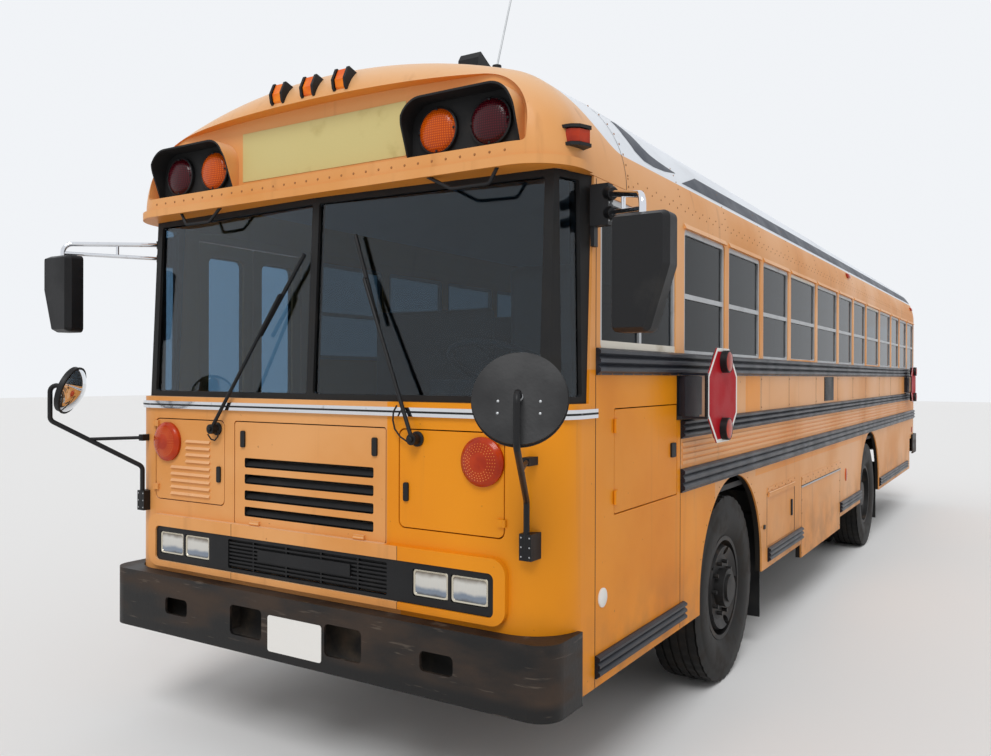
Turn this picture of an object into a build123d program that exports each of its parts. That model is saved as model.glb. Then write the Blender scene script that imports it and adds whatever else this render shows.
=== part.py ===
from build123d import *
import math
import os

# A flat-nosed school bus with its doors, hatches, stop arms, steering and wheels, in millimetres.
# Plus X is the driver's side, minus Y is forwards and plus Z is up.  The origin is on the ground,
# in the middle of the overall length and width.  Lengths along the bus are stations: distances
# behind the front post of the side windows, which at() turns into Y.

# Body shell
FIRST_POST_Y = -3741.15
BODY_HALF = 1194.0
WALL = 40.0
SKIRT_Z = 495.0
EAVE_Z = 2440.0
EAVE_RADIUS = 480.0
CROWN_Z = 3100.0
ROOF_THICK = 45.0
CORNER_RADIUS = 200.0
REAR_RADIUS = 90.0
FRONT_FACE = -1243.0
FASCIA_REAR = -925.0
REAR_FACE = 9040.0
REAR_SEAM = 8944.0
SKIRT_END = 8567.0

# Front cap over the windshield
CAP_REAR = -640.0
CAP_EAVE_Z = 2498.0
CAP_RADIUS = 360.0
CAP_CROWN_Z = 2953.0
CAP_BASE_Z = 2442.0
BROW_PROUD = 16.0
BROW_HIGH = 34.0
POCKET_DEPTH = 78.0
POCKET_HALF = 1060.0
POCKET_LOW_Z = 2530.0
POCKET_DROP = 107.0
POCKET_RADIUS = 230.0

# Side windows, front to rear, as the pitch from post to post
WINDOW_PITCHES = [698.5] * 3 + [838.2] * 2 + [698.5] * 2 + [838.2] * 2 + [698.5] * 3
POST_AHEAD = 45.0
POST_BEHIND = 25.0
WINDOW_LOW_Z = 1784.0
WINDOW_TOP_Z = 2385.0
SASH_WIDE = 24.0
SASH_DEEP = 26.0
SASH_INSET = 6.0
SASH_RAIL_Z = 2055.0
SASH_RAIL_HIGH = 24.0
GLASS = 6.0
DRIVER_WINDOW = (-885.0, -68.0)
VISOR_HIGH = 26.0
VISOR_PROUD = 14.0

# Rub rails: height above the ground, height of the rail and how far it stands out
RAIL_PROUD = 22.0
RAIL_BASE = 8.0
SILL_RAIL = (1688.0, 1792.0)
SEAT_RAIL = (1390.0, 1478.0)
FLOOR_RAIL = (1135.0, 1247.0)
SKIRT_RAIL = (531.0, 618.0)
PANEL_SEAM = 10.0
ARCH_SEAM = 60.0
FLUTE_HIGH = 16.0
FLUTE_PROUD = 5.0
FLUTE_COUNT = 4

# Axles, wheels and steering
FRONT_AXLE = 855.0
WHEELBASE = 4590.0
TYRE_RADIUS = 510.0
TYRE_WIDE = 275.0
RIM_RADIUS = 286.0
RIM_LIP = 12.0
ARCH_RADIUS = 572.0
ARCH_CENTRE_Z = 566.0
FRONT_TRACK_HALF = 1022.0
KINGPIN_X = 940.0
KINGPIN_RADIUS = 20.0
SEAT_GAP = 0.3
AXLE_STUB = 62.0
SPINDLE_RADIUS = 34.0
DUAL_OUTER_X = 1027.0
DUAL_PITCH = 325.0
HUB_RADIUS = 105.0
STUD_COUNT = 10
STUD_CIRCLE = 142.5
STUD_RADIUS = 11.0

# Chassis
FRAME_HALF = 470.0
FRAME_LOW_Z = 720.0
FRAME_HIGH = 250.0
FRAME_FLANGE = 80.0
FRAME_PLATE = 9.0
FRAME_FRONT = -1150.0
FRAME_REAR = 8880.0
CROSSMEMBERS = (520.0, 1500.0, 2700.0, 3900.0, 4700.0, 6200.0, 7400.0, 8700.0)

# Gearbox behind the engine, as stations and the height of its middle
GEARBOX = (-90.0, 420.0)
GEARBOX_Z = 850.0

# Floor and cab
FLOOR_Z = 1085.0
FLOOR_THICK = 30.0
FLOOR_BEAM = 50.0
FLOOR_BEAM_PITCH = 1150.0
RUNNER_HALF = 165.0
RUNNER_HIGH = 4.0
RUNNER_FRONT = 100.0
DOGHOUSE_HALF = 420.0
DOGHOUSE_REAR = -40.0
DOGHOUSE_Z = 1480.0
COVER_THICK = 8.0
FIREWALL = -1040.0
FIREWALL_THICK = 12.0
DASH_Z = 1576.0
DASH_THICK = 30.0
STEP_COUNT = 3
STEP_PLATE = 12.0

# Entry door, on the right, ahead of the front axle
ENTRY = (-850.0, -95.0)
ENTRY_LOW_Z = 560.0
ENTRY_TOP_Z = 2395.0
LEAF = 34.0
LEAF_LIGHTS = ((1560.0, 2320.0), (700.0, 1420.0))
PIN_OUT = 10.0
BARREL_RADIUS = PIN_OUT - SEAT_GAP
GAP = 6.0

# Rear wall and its emergency door
REAR_WALL_Z = 880.0
REAR_DOOR_HALF = 455.0
REAR_DOOR_LOW_Z = 1060.0
REAR_DOOR_TOP_Z = 2450.0
REAR_LIGHTS = ((1800.0, 2330.0), (1220.0, 1640.0))

# Front panels, doors and lamps
PANEL_GAP = 5.0
HINGE_RADIUS = 6.0
HINGE_OUT = HINGE_RADIUS + SEAT_GAP
HINGE_LONG = 56.0
ENGINE_PANEL_HALF = 437.0
ENGINE_PANEL_Z = (1013.0, 1479.0)
SLOT_HALF = 370.0
SLOT_TOP_Z = 1316.0
SLOT_PITCH = 72.0
SLOT_HIGH = 43.0
SLOT_COUNT = 4
ACCESS_DOOR_X = (498.0, 985.0)
ACCESS_DOOR_Z = (1089.0, 1478.0)
ACCESS_LATCH_Z = (1195.0, 1268.0)
LOUVRE_HIGH = 16.0
LOUVRE_PITCH = 31.0
LOUVRE_TOP_Z = 1381.0
LOUVRE_INNER_X = 598.0
LOUVRE_OUTER_XS = (764.0,) * 4 + (869.0,) * 5
BAND_HALF = 1002.0
BAND_Z = (776.0, 1021.0)
BAND_PROUD = 26.0
BLACK_HALF = 952.0
BLACK_Z = (804.0, 966.0)
GRILLE_HALF = 478.0
GRILLE_BARS = 7
HEADLAMP_XS = (664.0, 842.0)
HEADLAMP_Z = 889.0
HEADLAMP_SIZE = (166.0, 106.0)
TURN_X = 891.0
TURN_Z = 1367.0
TURN_RADIUS = 92.0
TRIM_Z = (1525.0, 1560.0)
TRIM_PROUD = 12.0

# Windshield, in plan: the outer front corners stand behind the middle
SHIELD_LOW_Z = 1580.0
SHIELD_LEAN = 40.0
SHIELD_MIDDLE = -1224.0
SHIELD_CORNER = (1122.0, -1168.0)
SHIELD_END = (1184.0, -985.0)
SHIELD_THICK = 42.0
SHIELD_SILL = 26.0
SHIELD_POST = 38.0

# Warning lamps over the windshield and at the rear
RED_X = 882.0
AMBER_X = 640.0
WARNING_Z = 2634.0
WARNING_RADIUS = 92.0
HOOD_X = (500.0, 1018.0)
HOOD_Z = (2532.0, 2758.0)
HOOD_DEEP = 92.0
HOOD_SKIN = 8.0
LAMP_PROUD = 42.0

# Marker lamps on the cap: an amber wedge between two black guards
MARKER_WIDE = 52.0
MARKER_WEDGE = ((-58.0, -40.0), (-58.0, 8.0), (-40.0, 34.0), (8.0, 52.0), (58.0, -40.0))
MARKER_GUARD = 12.0
CROWN_MARKER_XS = (-180.0, 0.0, 180.0)
CROWN_MARKER = (-1190.0, 2905.0)
SIDE_MARKER = (1181.0, -1070.0, 2555.0)

# Fittings on the cap: the antenna, the vent behind it and the grab handles under the brow
ANTENNA = (607.0, -700.0)
ANTENNA_LEAN = (21.0, 122.0)
ANTENNA_FOOT_Z = 3040.0
ANTENNA_TOP_Z = 3470.0
CAP_VENT_X = (360.0, 470.0)
CAP_VENT = (-640.0, -520.0)
CAP_VENT_Z = 3155.0
HANDLES = (
    # X of one foot, of the two ends of the grip and of the other foot
    (620.0, 740.0, 910.0, 950.0),
    (-812.0, -770.0, -610.0, -528.0),
)
HANDLE_STATION = -1238.0
HANDLE_DROP = 54.0
HANDLE_RADIUS = 7.0

# Bumpers
BUMPER_FACE = -1320.0
BUMPER_Z = (482.0, 752.0)
BUMPER_HALF = BODY_HALF + 23.0
BUMPER_PLATE = 12.0
BUMPER_REAR_END = -1075.0
BUMPER_HOLES = ((735.0, 152.0, 76.0), (277.0, 195.0, 130.0))
REAR_BUMPER_Z = (680.0, 925.0)
REAR_BUMPER_FACE = 9175.0

# Side doors and panels
SIDE_DOOR = (-754.0, -42.0)
SIDE_DOOR_Z = (1132.0, 1556.0)
BATTERY_DOOR = (1546.0, 2262.0)
BATTERY_DOOR_Z = (622.0, 956.0)
FUEL_PANEL = (2468.0, 3885.0)
FUEL_PANEL_Z = 397.0
BATTERY_CASE_DEEP = 472.0
BATTERY_CASE_THICK = 10.0
BATTERY_COUNT = 3
BATTERY_SIZE = (330.0, 175.0, 230.0)
BATTERY_PITCH = 215.0

# Main mirrors: X and station of each head and the height of its top
MIRRORS = ((1537.0, -1302.0, 2211.0), (-1537.0, -1375.0, 2279.0))
MIRROR_SIZE = (200.0, 92.0, 385.0)
MIRROR_NOSE = 30.0
MIRROR_CLAMP = (-982.0, -938.0)
MIRROR_CLAMP_Z = (2245.0, 2400.0)
MIRROR_ROOT_OUT = 60.0

# Round mirrors: X, station and radius of each dish and X of its bracket on the fascia
CROSSVIEWS = ((1250.0, -1590.0, 150.0, 1089.0), (-1195.0, -1540.0, 110.0, -1054.0))
CROSSVIEW_Z = 1609.0
CROSSVIEW_BULGE = 0.42
CROSSVIEW_BACK = 22.0
CROSSVIEW_TUBE = 11.0
CROSSVIEW_KNEE = 85.0
CROSSVIEW_BEND_Z = (1470.0, 1240.0)
CROSSVIEW_FOOT_Z = (1030.0, 1125.0)
CROSSVIEW_BRACE_Z = 1380.0

# Wipers: X of the pivot, then the blade's tip and foot, each as X and Z
WIPER_PIVOT_Z = 1439.0
WIPERS = ((590.0, 233.0, 2263.0, 366.0, 1889.0), (-548.0, -40.0, 2200.0, -300.0, 1860.0))

# Stop arms: station of each hinge and how far its pin stands out from the wall
STOP_ARMS = ((-34.0, 136.0), (8020.0, 78.0))
STOP_Z = 1594.0
STOP_SIZE = 450.0
STOP_PLATE = 6.0
STOP_EAR = 95.0
STOP_LAMP_RADIUS = 50.0
STOP_LAMP_DEEP = 34.0
STOP_BOX_LONG = 230.0
STOP_BOX_Z = (1498.0, 1684.0)
STOP_BOX_OUT = 37.0

# Roof hatch
HATCH_STATION = 5300.0
HATCH_HALF = 300.0
HATCH_LONG = 610.0
HATCH_LAP = 25.0
HATCH_RISE = 42.0
HATCH_SKIN = 12.0
HATCH_PIN = 8.0
HATCH_HINGE_X = 200.0

# Seats
SEAT_ROWS = 12
SEAT_FIRST = 620.0
SEAT_PITCH = 712.0
SEAT_WIDE = 960.0
SEAT_DEEP = 390.0
CUSHION_HIGH = 120.0
CUSHION_TOP = 430.0
BACK_THICK = 90.0
BACK_TOP = 1040.0
BACK_LOW = 400.0
DRIVER_X = 660.0
DRIVER_STATION = -330.0
WHEEL_PLACE = (-740.0, 1726.0)
WHEEL_RADIUS = 228.0


# Helpers for placing plain forms

def at(station):
    return FIRST_POST_Y + station


def block(x, y, z):
    size = Box(x[1] - x[0], y[1] - y[0], z[1] - z[0])
    return Pos((x[0] + x[1]) / 2, (y[0] + y[1]) / 2, (z[0] + z[1]) / 2) * size


def along_x(face, x0, x1):
    """Extrude a face drawn with Y to the right and Z up, from x0 to x1."""
    return extrude(Plane.YZ.offset(x0) * face, amount=x1 - x0)


def along_y(face, y0, y1):
    """Extrude a face drawn with X to the right and Z up, from y0 to y1."""
    return extrude(Plane.XZ.offset(-y1) * face, amount=y1 - y0)


def along_z(face, z0, z1):
    return extrude(Plane.XY.offset(z0) * face, amount=z1 - z0)


def area(*points):
    return make_face(Polyline(*points, close=True))


def panel(across, up, radius=0.0):
    """A rectangle between two pairs of limits, with round corners where a radius is given."""
    wide = across[1] - across[0]
    high = up[1] - up[0]
    flat = RectangleRounded(wide, high, radius) if radius else Rectangle(wide, high)
    return Pos((across[0] + across[1]) / 2, (up[0] + up[1]) / 2) * flat


def disc_along(axis, centre, radius, start, end):
    """A round bar along X or Y at a centre in the other two directions, start to end."""
    flat = Pos(*centre) * Circle(radius)
    return along_x(flat, start, end) if axis == "X" else along_y(flat, start, end)


def mirrored(shape):
    return mirror(shape, about=Plane.YZ)


def both_sides(shapes):
    return list(shapes) + [mirrored(shape) for shape in shapes]


def rod(points, radius, bend):
    """A round bar along straight runs joined by tangent arcs."""
    path = FilletPolyline(*points, radius=bend) if len(points) > 2 else Line(*points)
    start = Plane(origin=path @ 0, z_dir=path % 0)
    return sweep(start * Circle(radius), path=path)


def grown(limits, by):
    return (limits[0] - by, limits[1] + by)


def solids_of(shapes):
    found = []
    for shape in shapes:
        found.extend(shape.solids())
    return found


def save(name, shapes):
    solids = solids_of(shapes)
    model = solids[0] if len(solids) == 1 else Compound(children=solids)
    export_step(model, os.path.join("parts", name + ".step"))
    return model


# Body sections, seen along the bus

def section(half, eave_z, radius, crown_z, base_z):
    """Upright sides, a tangent arc at each eave and a tangent crown arc."""
    rise = crown_z - eave_z
    reach = half - radius
    crown = (reach**2 + rise**2 - radius**2) / (2 * (rise - radius))
    lean = math.atan2(eave_z - crown_z + crown, reach)
    cosine = math.cos(lean)
    sine = math.sin(lean)
    turn = (crown * cosine, crown_z - crown + crown * sine)
    middle = (reach + radius * math.cos(lean / 2), eave_z + radius * math.sin(lean / 2))
    right = ThreePointArc((half, eave_z), middle, turn)
    top = ThreePointArc(turn, (0, crown_z), (-turn[0], turn[1]))
    left = ThreePointArc((-turn[0], turn[1]), (-middle[0], middle[1]), (-half, eave_z))
    sides = Line((-half, eave_z), (-half, base_z)) + Line((half, base_z), (half, eave_z))
    base = Line((-half, base_z), (half, base_z))
    return make_face(right + top + left + sides + base)


def body_section(inset, base_z):
    return section(BODY_HALF - inset, EAVE_Z, EAVE_RADIUS - inset, CROWN_Z - inset, base_z)


def cap_section(inset, base_z):
    return section(BODY_HALF - inset, CAP_EAVE_Z, CAP_RADIUS - inset, CAP_CROWN_Z - inset, base_z)


def nose_plan(inset):
    """Front corners of the body in plan, open to the rear at the fascia seam."""
    half = BODY_HALF - inset
    outline = panel((-half, half), (at(FRONT_FACE) + inset, at(FASCIA_REAR) + CORNER_RADIUS))
    corners = outline.vertices().sort_by(Axis.Y)[:2]
    return fillet(corners, CORNER_RADIUS - inset)


# Front cap

def cap_form(inset):
    base_z = CAP_BASE_Z - 60
    front = Plane.XZ.offset(-at(FRONT_FACE) - inset) * cap_section(inset, base_z)
    rear = Plane.XZ.offset(-at(CAP_REAR)) * body_section(inset, base_z)
    form = loft([front, rear], ruled=True)
    edges = form.edges().filter_by_position(Axis.Y, at(FRONT_FACE) + inset - 1, at(FRONT_FACE) + inset + 1)
    rim = [edge for edge in edges if edge.center().Z > base_z + 5]
    return fillet(rim, CORNER_RADIUS - inset)


def pocket_face():
    """Outline of the recess round the sign and the warning lamps, seen from the front."""
    crown_z = CAP_CROWN_Z - POCKET_DROP
    side_z = crown_z - POCKET_RADIUS - 25
    top = section(POCKET_HALF, side_z, POCKET_RADIUS, crown_z, POCKET_LOW_Z)
    low = top.vertices().sort_by(Axis.Y)[:2]
    return fillet(low, 20)


def front_cap():
    outer = cap_form(0)
    sign_face = at(FRONT_FACE) + POCKET_DEPTH
    pocket = along_y(pocket_face(), at(FRONT_FACE) - 10, sign_face)
    inner = cap_form(ROOF_THICK) & block((-1300, 1300), (sign_face + WALL, at(0)), (2000, 3300))
    cap = outer - pocket - inner
    cap -= block((-1300, 1300), (at(-1400), at(0)), (2000, CAP_BASE_Z))
    plan = nose_plan(0)
    brow = along_z(offset(plan, BROW_PROUD), CAP_BASE_Z, CAP_BASE_Z + BROW_HIGH)
    brow -= along_z(nose_plan(WALL), CAP_BASE_Z - 1, CAP_BASE_Z + BROW_HIGH + 1)
    brow -= block((-1300, 1300), (at(FASCIA_REAR) - 60, at(0)), (2400, 2600))
    return cap + brow


def roof():
    ring = body_section(0, EAVE_Z - 50) - body_section(ROOF_THICK, EAVE_Z - 60)
    ring -= panel((-1300, 1300), (EAVE_Z - 100, EAVE_Z))
    skin = along_y(ring, at(CAP_REAR), at(REAR_SEAM))
    return skin - block((-HATCH_HALF, HATCH_HALF), (at(HATCH_STATION), at(HATCH_STATION) + HATCH_LONG), (2900, 3200))


def hatch_pin():
    """Hinge line of the roof hatch, along its front edge, as Y and Z."""
    return (at(HATCH_STATION) - HATCH_LAP - HATCH_PIN, CROWN_Z + HATCH_PIN)


def roof_hatch():
    """A shallow lid over its hole, with a skirt that follows the crown of the roof."""
    span = grown((at(HATCH_STATION), at(HATCH_STATION) + HATCH_LONG), HATCH_LAP)
    across = grown((-HATCH_HALF, HATCH_HALF), HATCH_LAP)
    top = CROWN_Z + HATCH_RISE
    lid = block(across, span, (CROWN_Z - HATCH_RISE, top))
    lid = fillet(lid.edges().filter_by(Axis.Z), 45)
    lid = chamfer(lid.faces().sort_by(Axis.Z)[-1].edges(), 14)
    lid -= block(grown(across, -HATCH_SKIN), grown(span, -HATCH_SKIN), (0, top - HATCH_SKIN))
    pin_y, pin_z = hatch_pin()
    for side in (-1, 1):
        hinge = grown((side * HATCH_HINGE_X, side * HATCH_HINGE_X), HINGE_LONG)
        lid += disc_along("X", (pin_y, pin_z), HATCH_PIN - SEAT_GAP, *hinge)
        lid += block(hinge, (pin_y, span[0] + 4), (pin_z - 3, pin_z + 5))
    return lid - along_y(body_section(-SEAT_GAP, 2000), span[0] - 50, span[1] + 50)


# Side walls

def windows():
    """Each side window as its opening's limits along Y."""
    station = 0.0
    found = []
    for pitch in WINDOW_PITCHES:
        found.append((at(station + POST_AHEAD), at(station + pitch - POST_BEHIND)))
        station += pitch
    return found


def arch(axle):
    centre = at(axle)
    low = panel((centre - ARCH_RADIUS, centre + ARCH_RADIUS), (SKIRT_Z - 200, ARCH_CENTRE_Z))
    return (Pos(centre, ARCH_CENTRE_Z) * Circle(ARCH_RADIUS)) + low


def side_face(side):
    """Outline of one side wall with its windows and arches; side is 1 for left, -1 for right."""
    y0 = at(FASCIA_REAR)
    y1 = at(REAR_SEAM)
    pillar = at(SHIELD_END[1])
    skirt_end = at(SKIRT_END)
    face = area((y0, SKIRT_Z), (skirt_end, SKIRT_Z), (skirt_end, REAR_WALL_Z), (y1, REAR_WALL_Z), (y1, EAVE_Z),
                (pillar + SHIELD_LEAN, EAVE_Z), (pillar, SHIELD_LOW_Z), (y0, SHIELD_LOW_Z))
    glazed = windows()
    if side > 0:
        glazed = glazed + [(at(DRIVER_WINDOW[0]), at(DRIVER_WINDOW[1]))]
        face += panel((at(FUEL_PANEL[0]), at(FUEL_PANEL[1])), (FUEL_PANEL_Z, SKIRT_Z + 10))
        face -= panel((at(SIDE_DOOR[0]), at(SIDE_DOOR[1])), SIDE_DOOR_Z, 12)
        face -= panel((at(BATTERY_DOOR[0]), at(BATTERY_DOOR[1])), BATTERY_DOOR_Z, 6)
    else:
        face -= panel((at(ENTRY[0]), at(ENTRY[1])), (SKIRT_Z - 50, ENTRY_TOP_Z))
    for span in glazed:
        face -= panel(span, (WINDOW_LOW_Z, WINDOW_TOP_Z), 30)
    for axle in (FRONT_AXLE, FRONT_AXLE + WHEELBASE):
        face -= arch(axle)
    return face


def panel_seams():
    """Cuts between the panels of a side: ahead of the windows, behind the floor rail and by the arches."""
    x = (BODY_HALF - WALL - 10, BODY_HALF + VISOR_PROUD + 10)
    low = SKIRT_Z - 10
    skirt_top = (FLOOR_RAIL[0] + FLOOR_RAIL[1]) / 2
    half = SEAT_GAP / 2
    rear_axle_station = FRONT_AXLE + WHEELBASE
    reach = ARCH_RADIUS + ARCH_SEAM
    cuts = block(x, (at(PANEL_SEAM), at(REAR_SEAM) + 10), (skirt_top - half, skirt_top + half))
    cuts += block(x, (at(PANEL_SEAM) - half, at(PANEL_SEAM) + half), (low, EAVE_Z + 10))
    for station in (FRONT_AXLE + reach, rear_axle_station - reach, rear_axle_station + reach):
        cuts += block(x, (at(station) - half, at(station) + half), (low, skirt_top))
    return cuts


def side_wall(side):
    """The panels of one side: the cab's, the one with the windows, and the skirt in four lengths."""
    wall = along_x(side_face(side), BODY_HALF - WALL, BODY_HALF)
    flute_step = (SEAT_RAIL[0] - FLOOR_RAIL[1]) / (FLUTE_COUNT + 1)
    for count in range(FLUTE_COUNT):
        z = FLOOR_RAIL[1] + flute_step * (count + 1)
        wall += block((BODY_HALF, BODY_HALF + FLUTE_PROUD), (at(20), at(REAR_SEAM)),
                      (z - FLUTE_HIGH / 2, z + FLUTE_HIGH / 2))
    for span in windows():
        ledge = area((BODY_HALF, WINDOW_TOP_Z + VISOR_HIGH), (BODY_HALF, WINDOW_TOP_Z),
                     (BODY_HALF + VISOR_PROUD, WINDOW_TOP_Z))
        wall += along_y(ledge, span[0] - 8, span[1] + 8)
    panels = (wall - panel_seams()).solids()
    return panels if side > 0 else [mirrored(piece) for piece in panels]


def rail_face(z):
    """A ribbed rail seen along the bus, against the panel at the body's half width."""
    high = z[1] - z[0]
    base = BODY_HALF + RAIL_BASE
    out = BODY_HALF + RAIL_PROUD
    points = [(BODY_HALF, z[0]), (BODY_HALF, z[1]), (base, z[1])]
    ribs = 3
    step = high / ribs
    for rib in range(ribs):
        top = z[1] - rib * step
        points += [(out, top - step * 0.25), (out, top - step * 0.6), (base, top - step * 0.85)]
    points.append((base, z[0]))
    return area(*points)


def rub_rails():
    front = FRONT_AXLE - ARCH_RADIUS
    rear_arch = FRONT_AXLE + WHEELBASE
    rows = [
        # rail, first station, last station, sides
        (SILL_RAIL, FASCIA_REAR, REAR_SEAM, "left"),
        (SILL_RAIL, ENTRY[1] + 20, REAR_SEAM, "right"),
        (SEAT_RAIL, 5, REAR_SEAM, "both"),
        (FLOOR_RAIL, 5, REAR_SEAM, "both"),
        (SKIRT_RAIL, FASCIA_REAR, front - 240, "left"),
        (SKIRT_RAIL, BATTERY_DOOR[0] + 14, FUEL_PANEL[0] - 8, "left"),
        (SKIRT_RAIL, FUEL_PANEL[1] + 8, rear_arch - ARCH_RADIUS - 20, "left"),
        (SKIRT_RAIL, BATTERY_DOOR[0] + 14, rear_arch - ARCH_RADIUS - 20, "right"),
        (SKIRT_RAIL, rear_arch + ARCH_RADIUS + 20, SKIRT_END - 250, "both"),
    ]
    rails = []
    for limits, first, last, sides in rows:
        rail = along_y(rail_face(limits), at(first), at(last))
        if sides != "right":
            rails.append(rail)
        if sides != "left":
            rails.append(mirrored(rail))
    return rails


def sash(span, z, rail=True):
    """One aluminium window frame in its opening, with a bar between two panes."""
    outer = BODY_HALF - SASH_INSET
    ring = panel(span, z, 30)
    ring -= panel(grown(span, -SASH_WIDE), grown(z, -SASH_WIDE), 12)
    if rail:
        ring += panel(grown(span, -SASH_WIDE + 2), (SASH_RAIL_Z, SASH_RAIL_Z + SASH_RAIL_HIGH))
    return along_x(ring, outer - SASH_DEEP, outer)


def panes(span, z):
    """Upper and lower panes inside a sash, face to face with it."""
    inner = grown(span, -SASH_WIDE)
    face = panel(inner, grown(z, -SASH_WIDE), 12)
    face -= panel(grown(inner, 5), (SASH_RAIL_Z, SASH_RAIL_Z + SASH_RAIL_HIGH))
    outer = BODY_HALF - SASH_INSET - SASH_DEEP / 2
    return along_x(face, outer - GLASS / 2, outer + GLASS / 2)


def driver_sash():
    span = (at(DRIVER_WINDOW[0]), at(DRIVER_WINDOW[1]))
    z = (WINDOW_LOW_Z, WINDOW_TOP_Z)
    middle = (span[0] + span[1]) / 2
    ring = sash(span, z, rail=False)
    outer = BODY_HALF - SASH_INSET
    return ring + block((outer - SASH_DEEP, outer), (middle - 12, middle + 12), grown(z, -SASH_WIDE + 2))


def driver_panes():
    span = (at(DRIVER_WINDOW[0]), at(DRIVER_WINDOW[1]))
    z = (WINDOW_LOW_Z, WINDOW_TOP_Z)
    middle = (span[0] + span[1]) / 2
    outer = BODY_HALF - SASH_INSET - SASH_DEEP / 2
    glass = along_x(panel(grown(span, -SASH_WIDE), grown(z, -SASH_WIDE), 12), outer - GLASS / 2, outer + GLASS / 2)
    return glass - block((1000, 1300), (middle - 12, middle + 12), (1700, 2500))


def window_sashes():
    z = (WINDOW_LOW_Z, WINDOW_TOP_Z)
    left = [sash(span, z) for span in windows()]
    return both_sides(left) + [driver_sash()]


def window_glass():
    z = (WINDOW_LOW_Z, WINDOW_TOP_Z)
    left = [panes(span, z) for span in windows()]
    return both_sides(left) + [driver_panes()]


# Rear end

def rear_form(inset):
    form = along_y(body_section(inset, SKIRT_Z - 60), at(REAR_SEAM), at(REAR_FACE) - inset)
    edges = form.edges().filter_by_position(Axis.Y, at(REAR_FACE) - inset - 1, at(REAR_FACE) - inset + 1)
    rim = [edge for edge in edges if edge.center().Z > SKIRT_Z - 50]
    return fillet(rim, REAR_RADIUS - inset)


def rear_windows():
    high = (WINDOW_LOW_Z, WINDOW_TOP_Z)
    return [((-1040, -540), high), ((540, 1040), high)]


def rear_wall():
    y = (at(REAR_SEAM) - 10, at(REAR_FACE) + 10)
    wall = rear_form(0) - rear_form(WALL)
    wall -= block((-1300, 1300), y, (0, REAR_WALL_Z))
    wall -= along_y(panel((-REAR_DOOR_HALF, REAR_DOOR_HALF), (REAR_DOOR_LOW_Z, REAR_DOOR_TOP_Z), 40), *y)
    for across, up in rear_windows():
        wall -= along_y(panel(across, up, 60), *y)
    return wall


def rear_glass():
    y1 = at(REAR_FACE) - WALL / 2
    return [along_y(panel(across, up, 60), y1 - GLASS, y1) for across, up in rear_windows()]


def door_lights(half, upper, lower, radius):
    return [panel((-half, half), limits, radius) for limits in (upper, lower)]


def rear_door():
    y1 = at(REAR_FACE) - 2
    half = REAR_DOOR_HALF - GAP
    door = along_y(panel((-half, half), grown((REAR_DOOR_LOW_Z, REAR_DOOR_TOP_Z), -GAP), 36), y1 - LEAF, y1)
    for light in door_lights(half - 80, *REAR_LIGHTS, 40):
        door -= along_y(light, y1 - LEAF - 5, y1 + 5)
    for z in (1250, 1750, 2250):
        door += hinge_leaf(z)
    return door


def rear_pin():
    return (-REAR_DOOR_HALF - 4, at(REAR_FACE) + PIN_OUT)


def hinge_leaf(z):
    """A strap that stands clear of the wall, from the door's face to its hinge pin."""
    x, y = rear_pin()
    strap = block((x, x + 90), (at(REAR_FACE) + 2, y + 4), (z - 45, z + 45))
    foot = block((-REAR_DOOR_HALF + GAP + 2, x + 90), (at(REAR_FACE) - 4, at(REAR_FACE) + 4), (z - 45, z + 45))
    return strap + foot + Pos(x, y, z) * Cylinder(BARREL_RADIUS, 90)


def rear_door_glass():
    y1 = at(REAR_FACE) - 2 - LEAF / 2
    half = REAR_DOOR_HALF - GAP - 80
    return [along_y(light, y1 - GLASS / 2, y1 + GLASS / 2) for light in door_lights(half, *REAR_LIGHTS, 40)]


# Front fascia with its panels and doors

def front_fascia():
    z1 = SHIELD_LOW_Z
    shell = along_z(nose_plan(0), SKIRT_Z, z1) - along_z(nose_plan(WALL), SKIRT_Z, z1 - 22)
    rear = (at(FASCIA_REAR), at(FASCIA_REAR) + 2 * CORNER_RADIUS)
    shell -= block((-1300, 1300), rear, (SKIRT_Z - 1, z1 + 1))
    deep = (at(FRONT_FACE) - 1, at(FRONT_FACE) + WALL + 12)
    shell -= block((-BODY_HALF + 240, BODY_HALF - 240), (at(FRONT_FACE) - 1, at(FRONT_FACE) + WALL + 1),
                   (SKIRT_Z - 1, BAND_Z[0] - 30))
    shell -= block((-SHIELD_CORNER[0] + 60, SHIELD_CORNER[0] - 60),
                   (at(SHIELD_MIDDLE) + 60, at(FASCIA_REAR) + 1), (z1 - 24, z1 + 1))
    shell -= along_y(panel((-ENGINE_PANEL_HALF, ENGINE_PANEL_HALF), ENGINE_PANEL_Z, 14), *deep)
    shell -= along_y(panel((-GRILLE_HALF + 20, GRILLE_HALF - 20), grown(BLACK_Z, -14), 10), *deep)
    for side in (-1, 1):
        door = panel(sorted((side * ACCESS_DOOR_X[0], side * ACCESS_DOOR_X[1])), ACCESS_DOOR_Z, 28)
        shell -= along_y(door, *deep)
    band = along_z(offset(nose_plan(0), BAND_PROUD), *BAND_Z) - along_z(nose_plan(0), 0, 2000)
    band &= along_y(panel((-BAND_HALF, BAND_HALF), BAND_Z, 60), at(FRONT_FACE) - 60, at(FRONT_FACE) + 60)
    band -= along_y(panel((-BLACK_HALF, BLACK_HALF), BLACK_Z, 24), at(FRONT_FACE) - 60, at(FRONT_FACE) + 60)
    return shell + band


def front_panel_blank(across, up, radius):
    y0 = at(FRONT_FACE) + 1
    return along_y(panel(grown(across, -PANEL_GAP), grown(up, -PANEL_GAP), radius), y0, y0 + 26)


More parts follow.
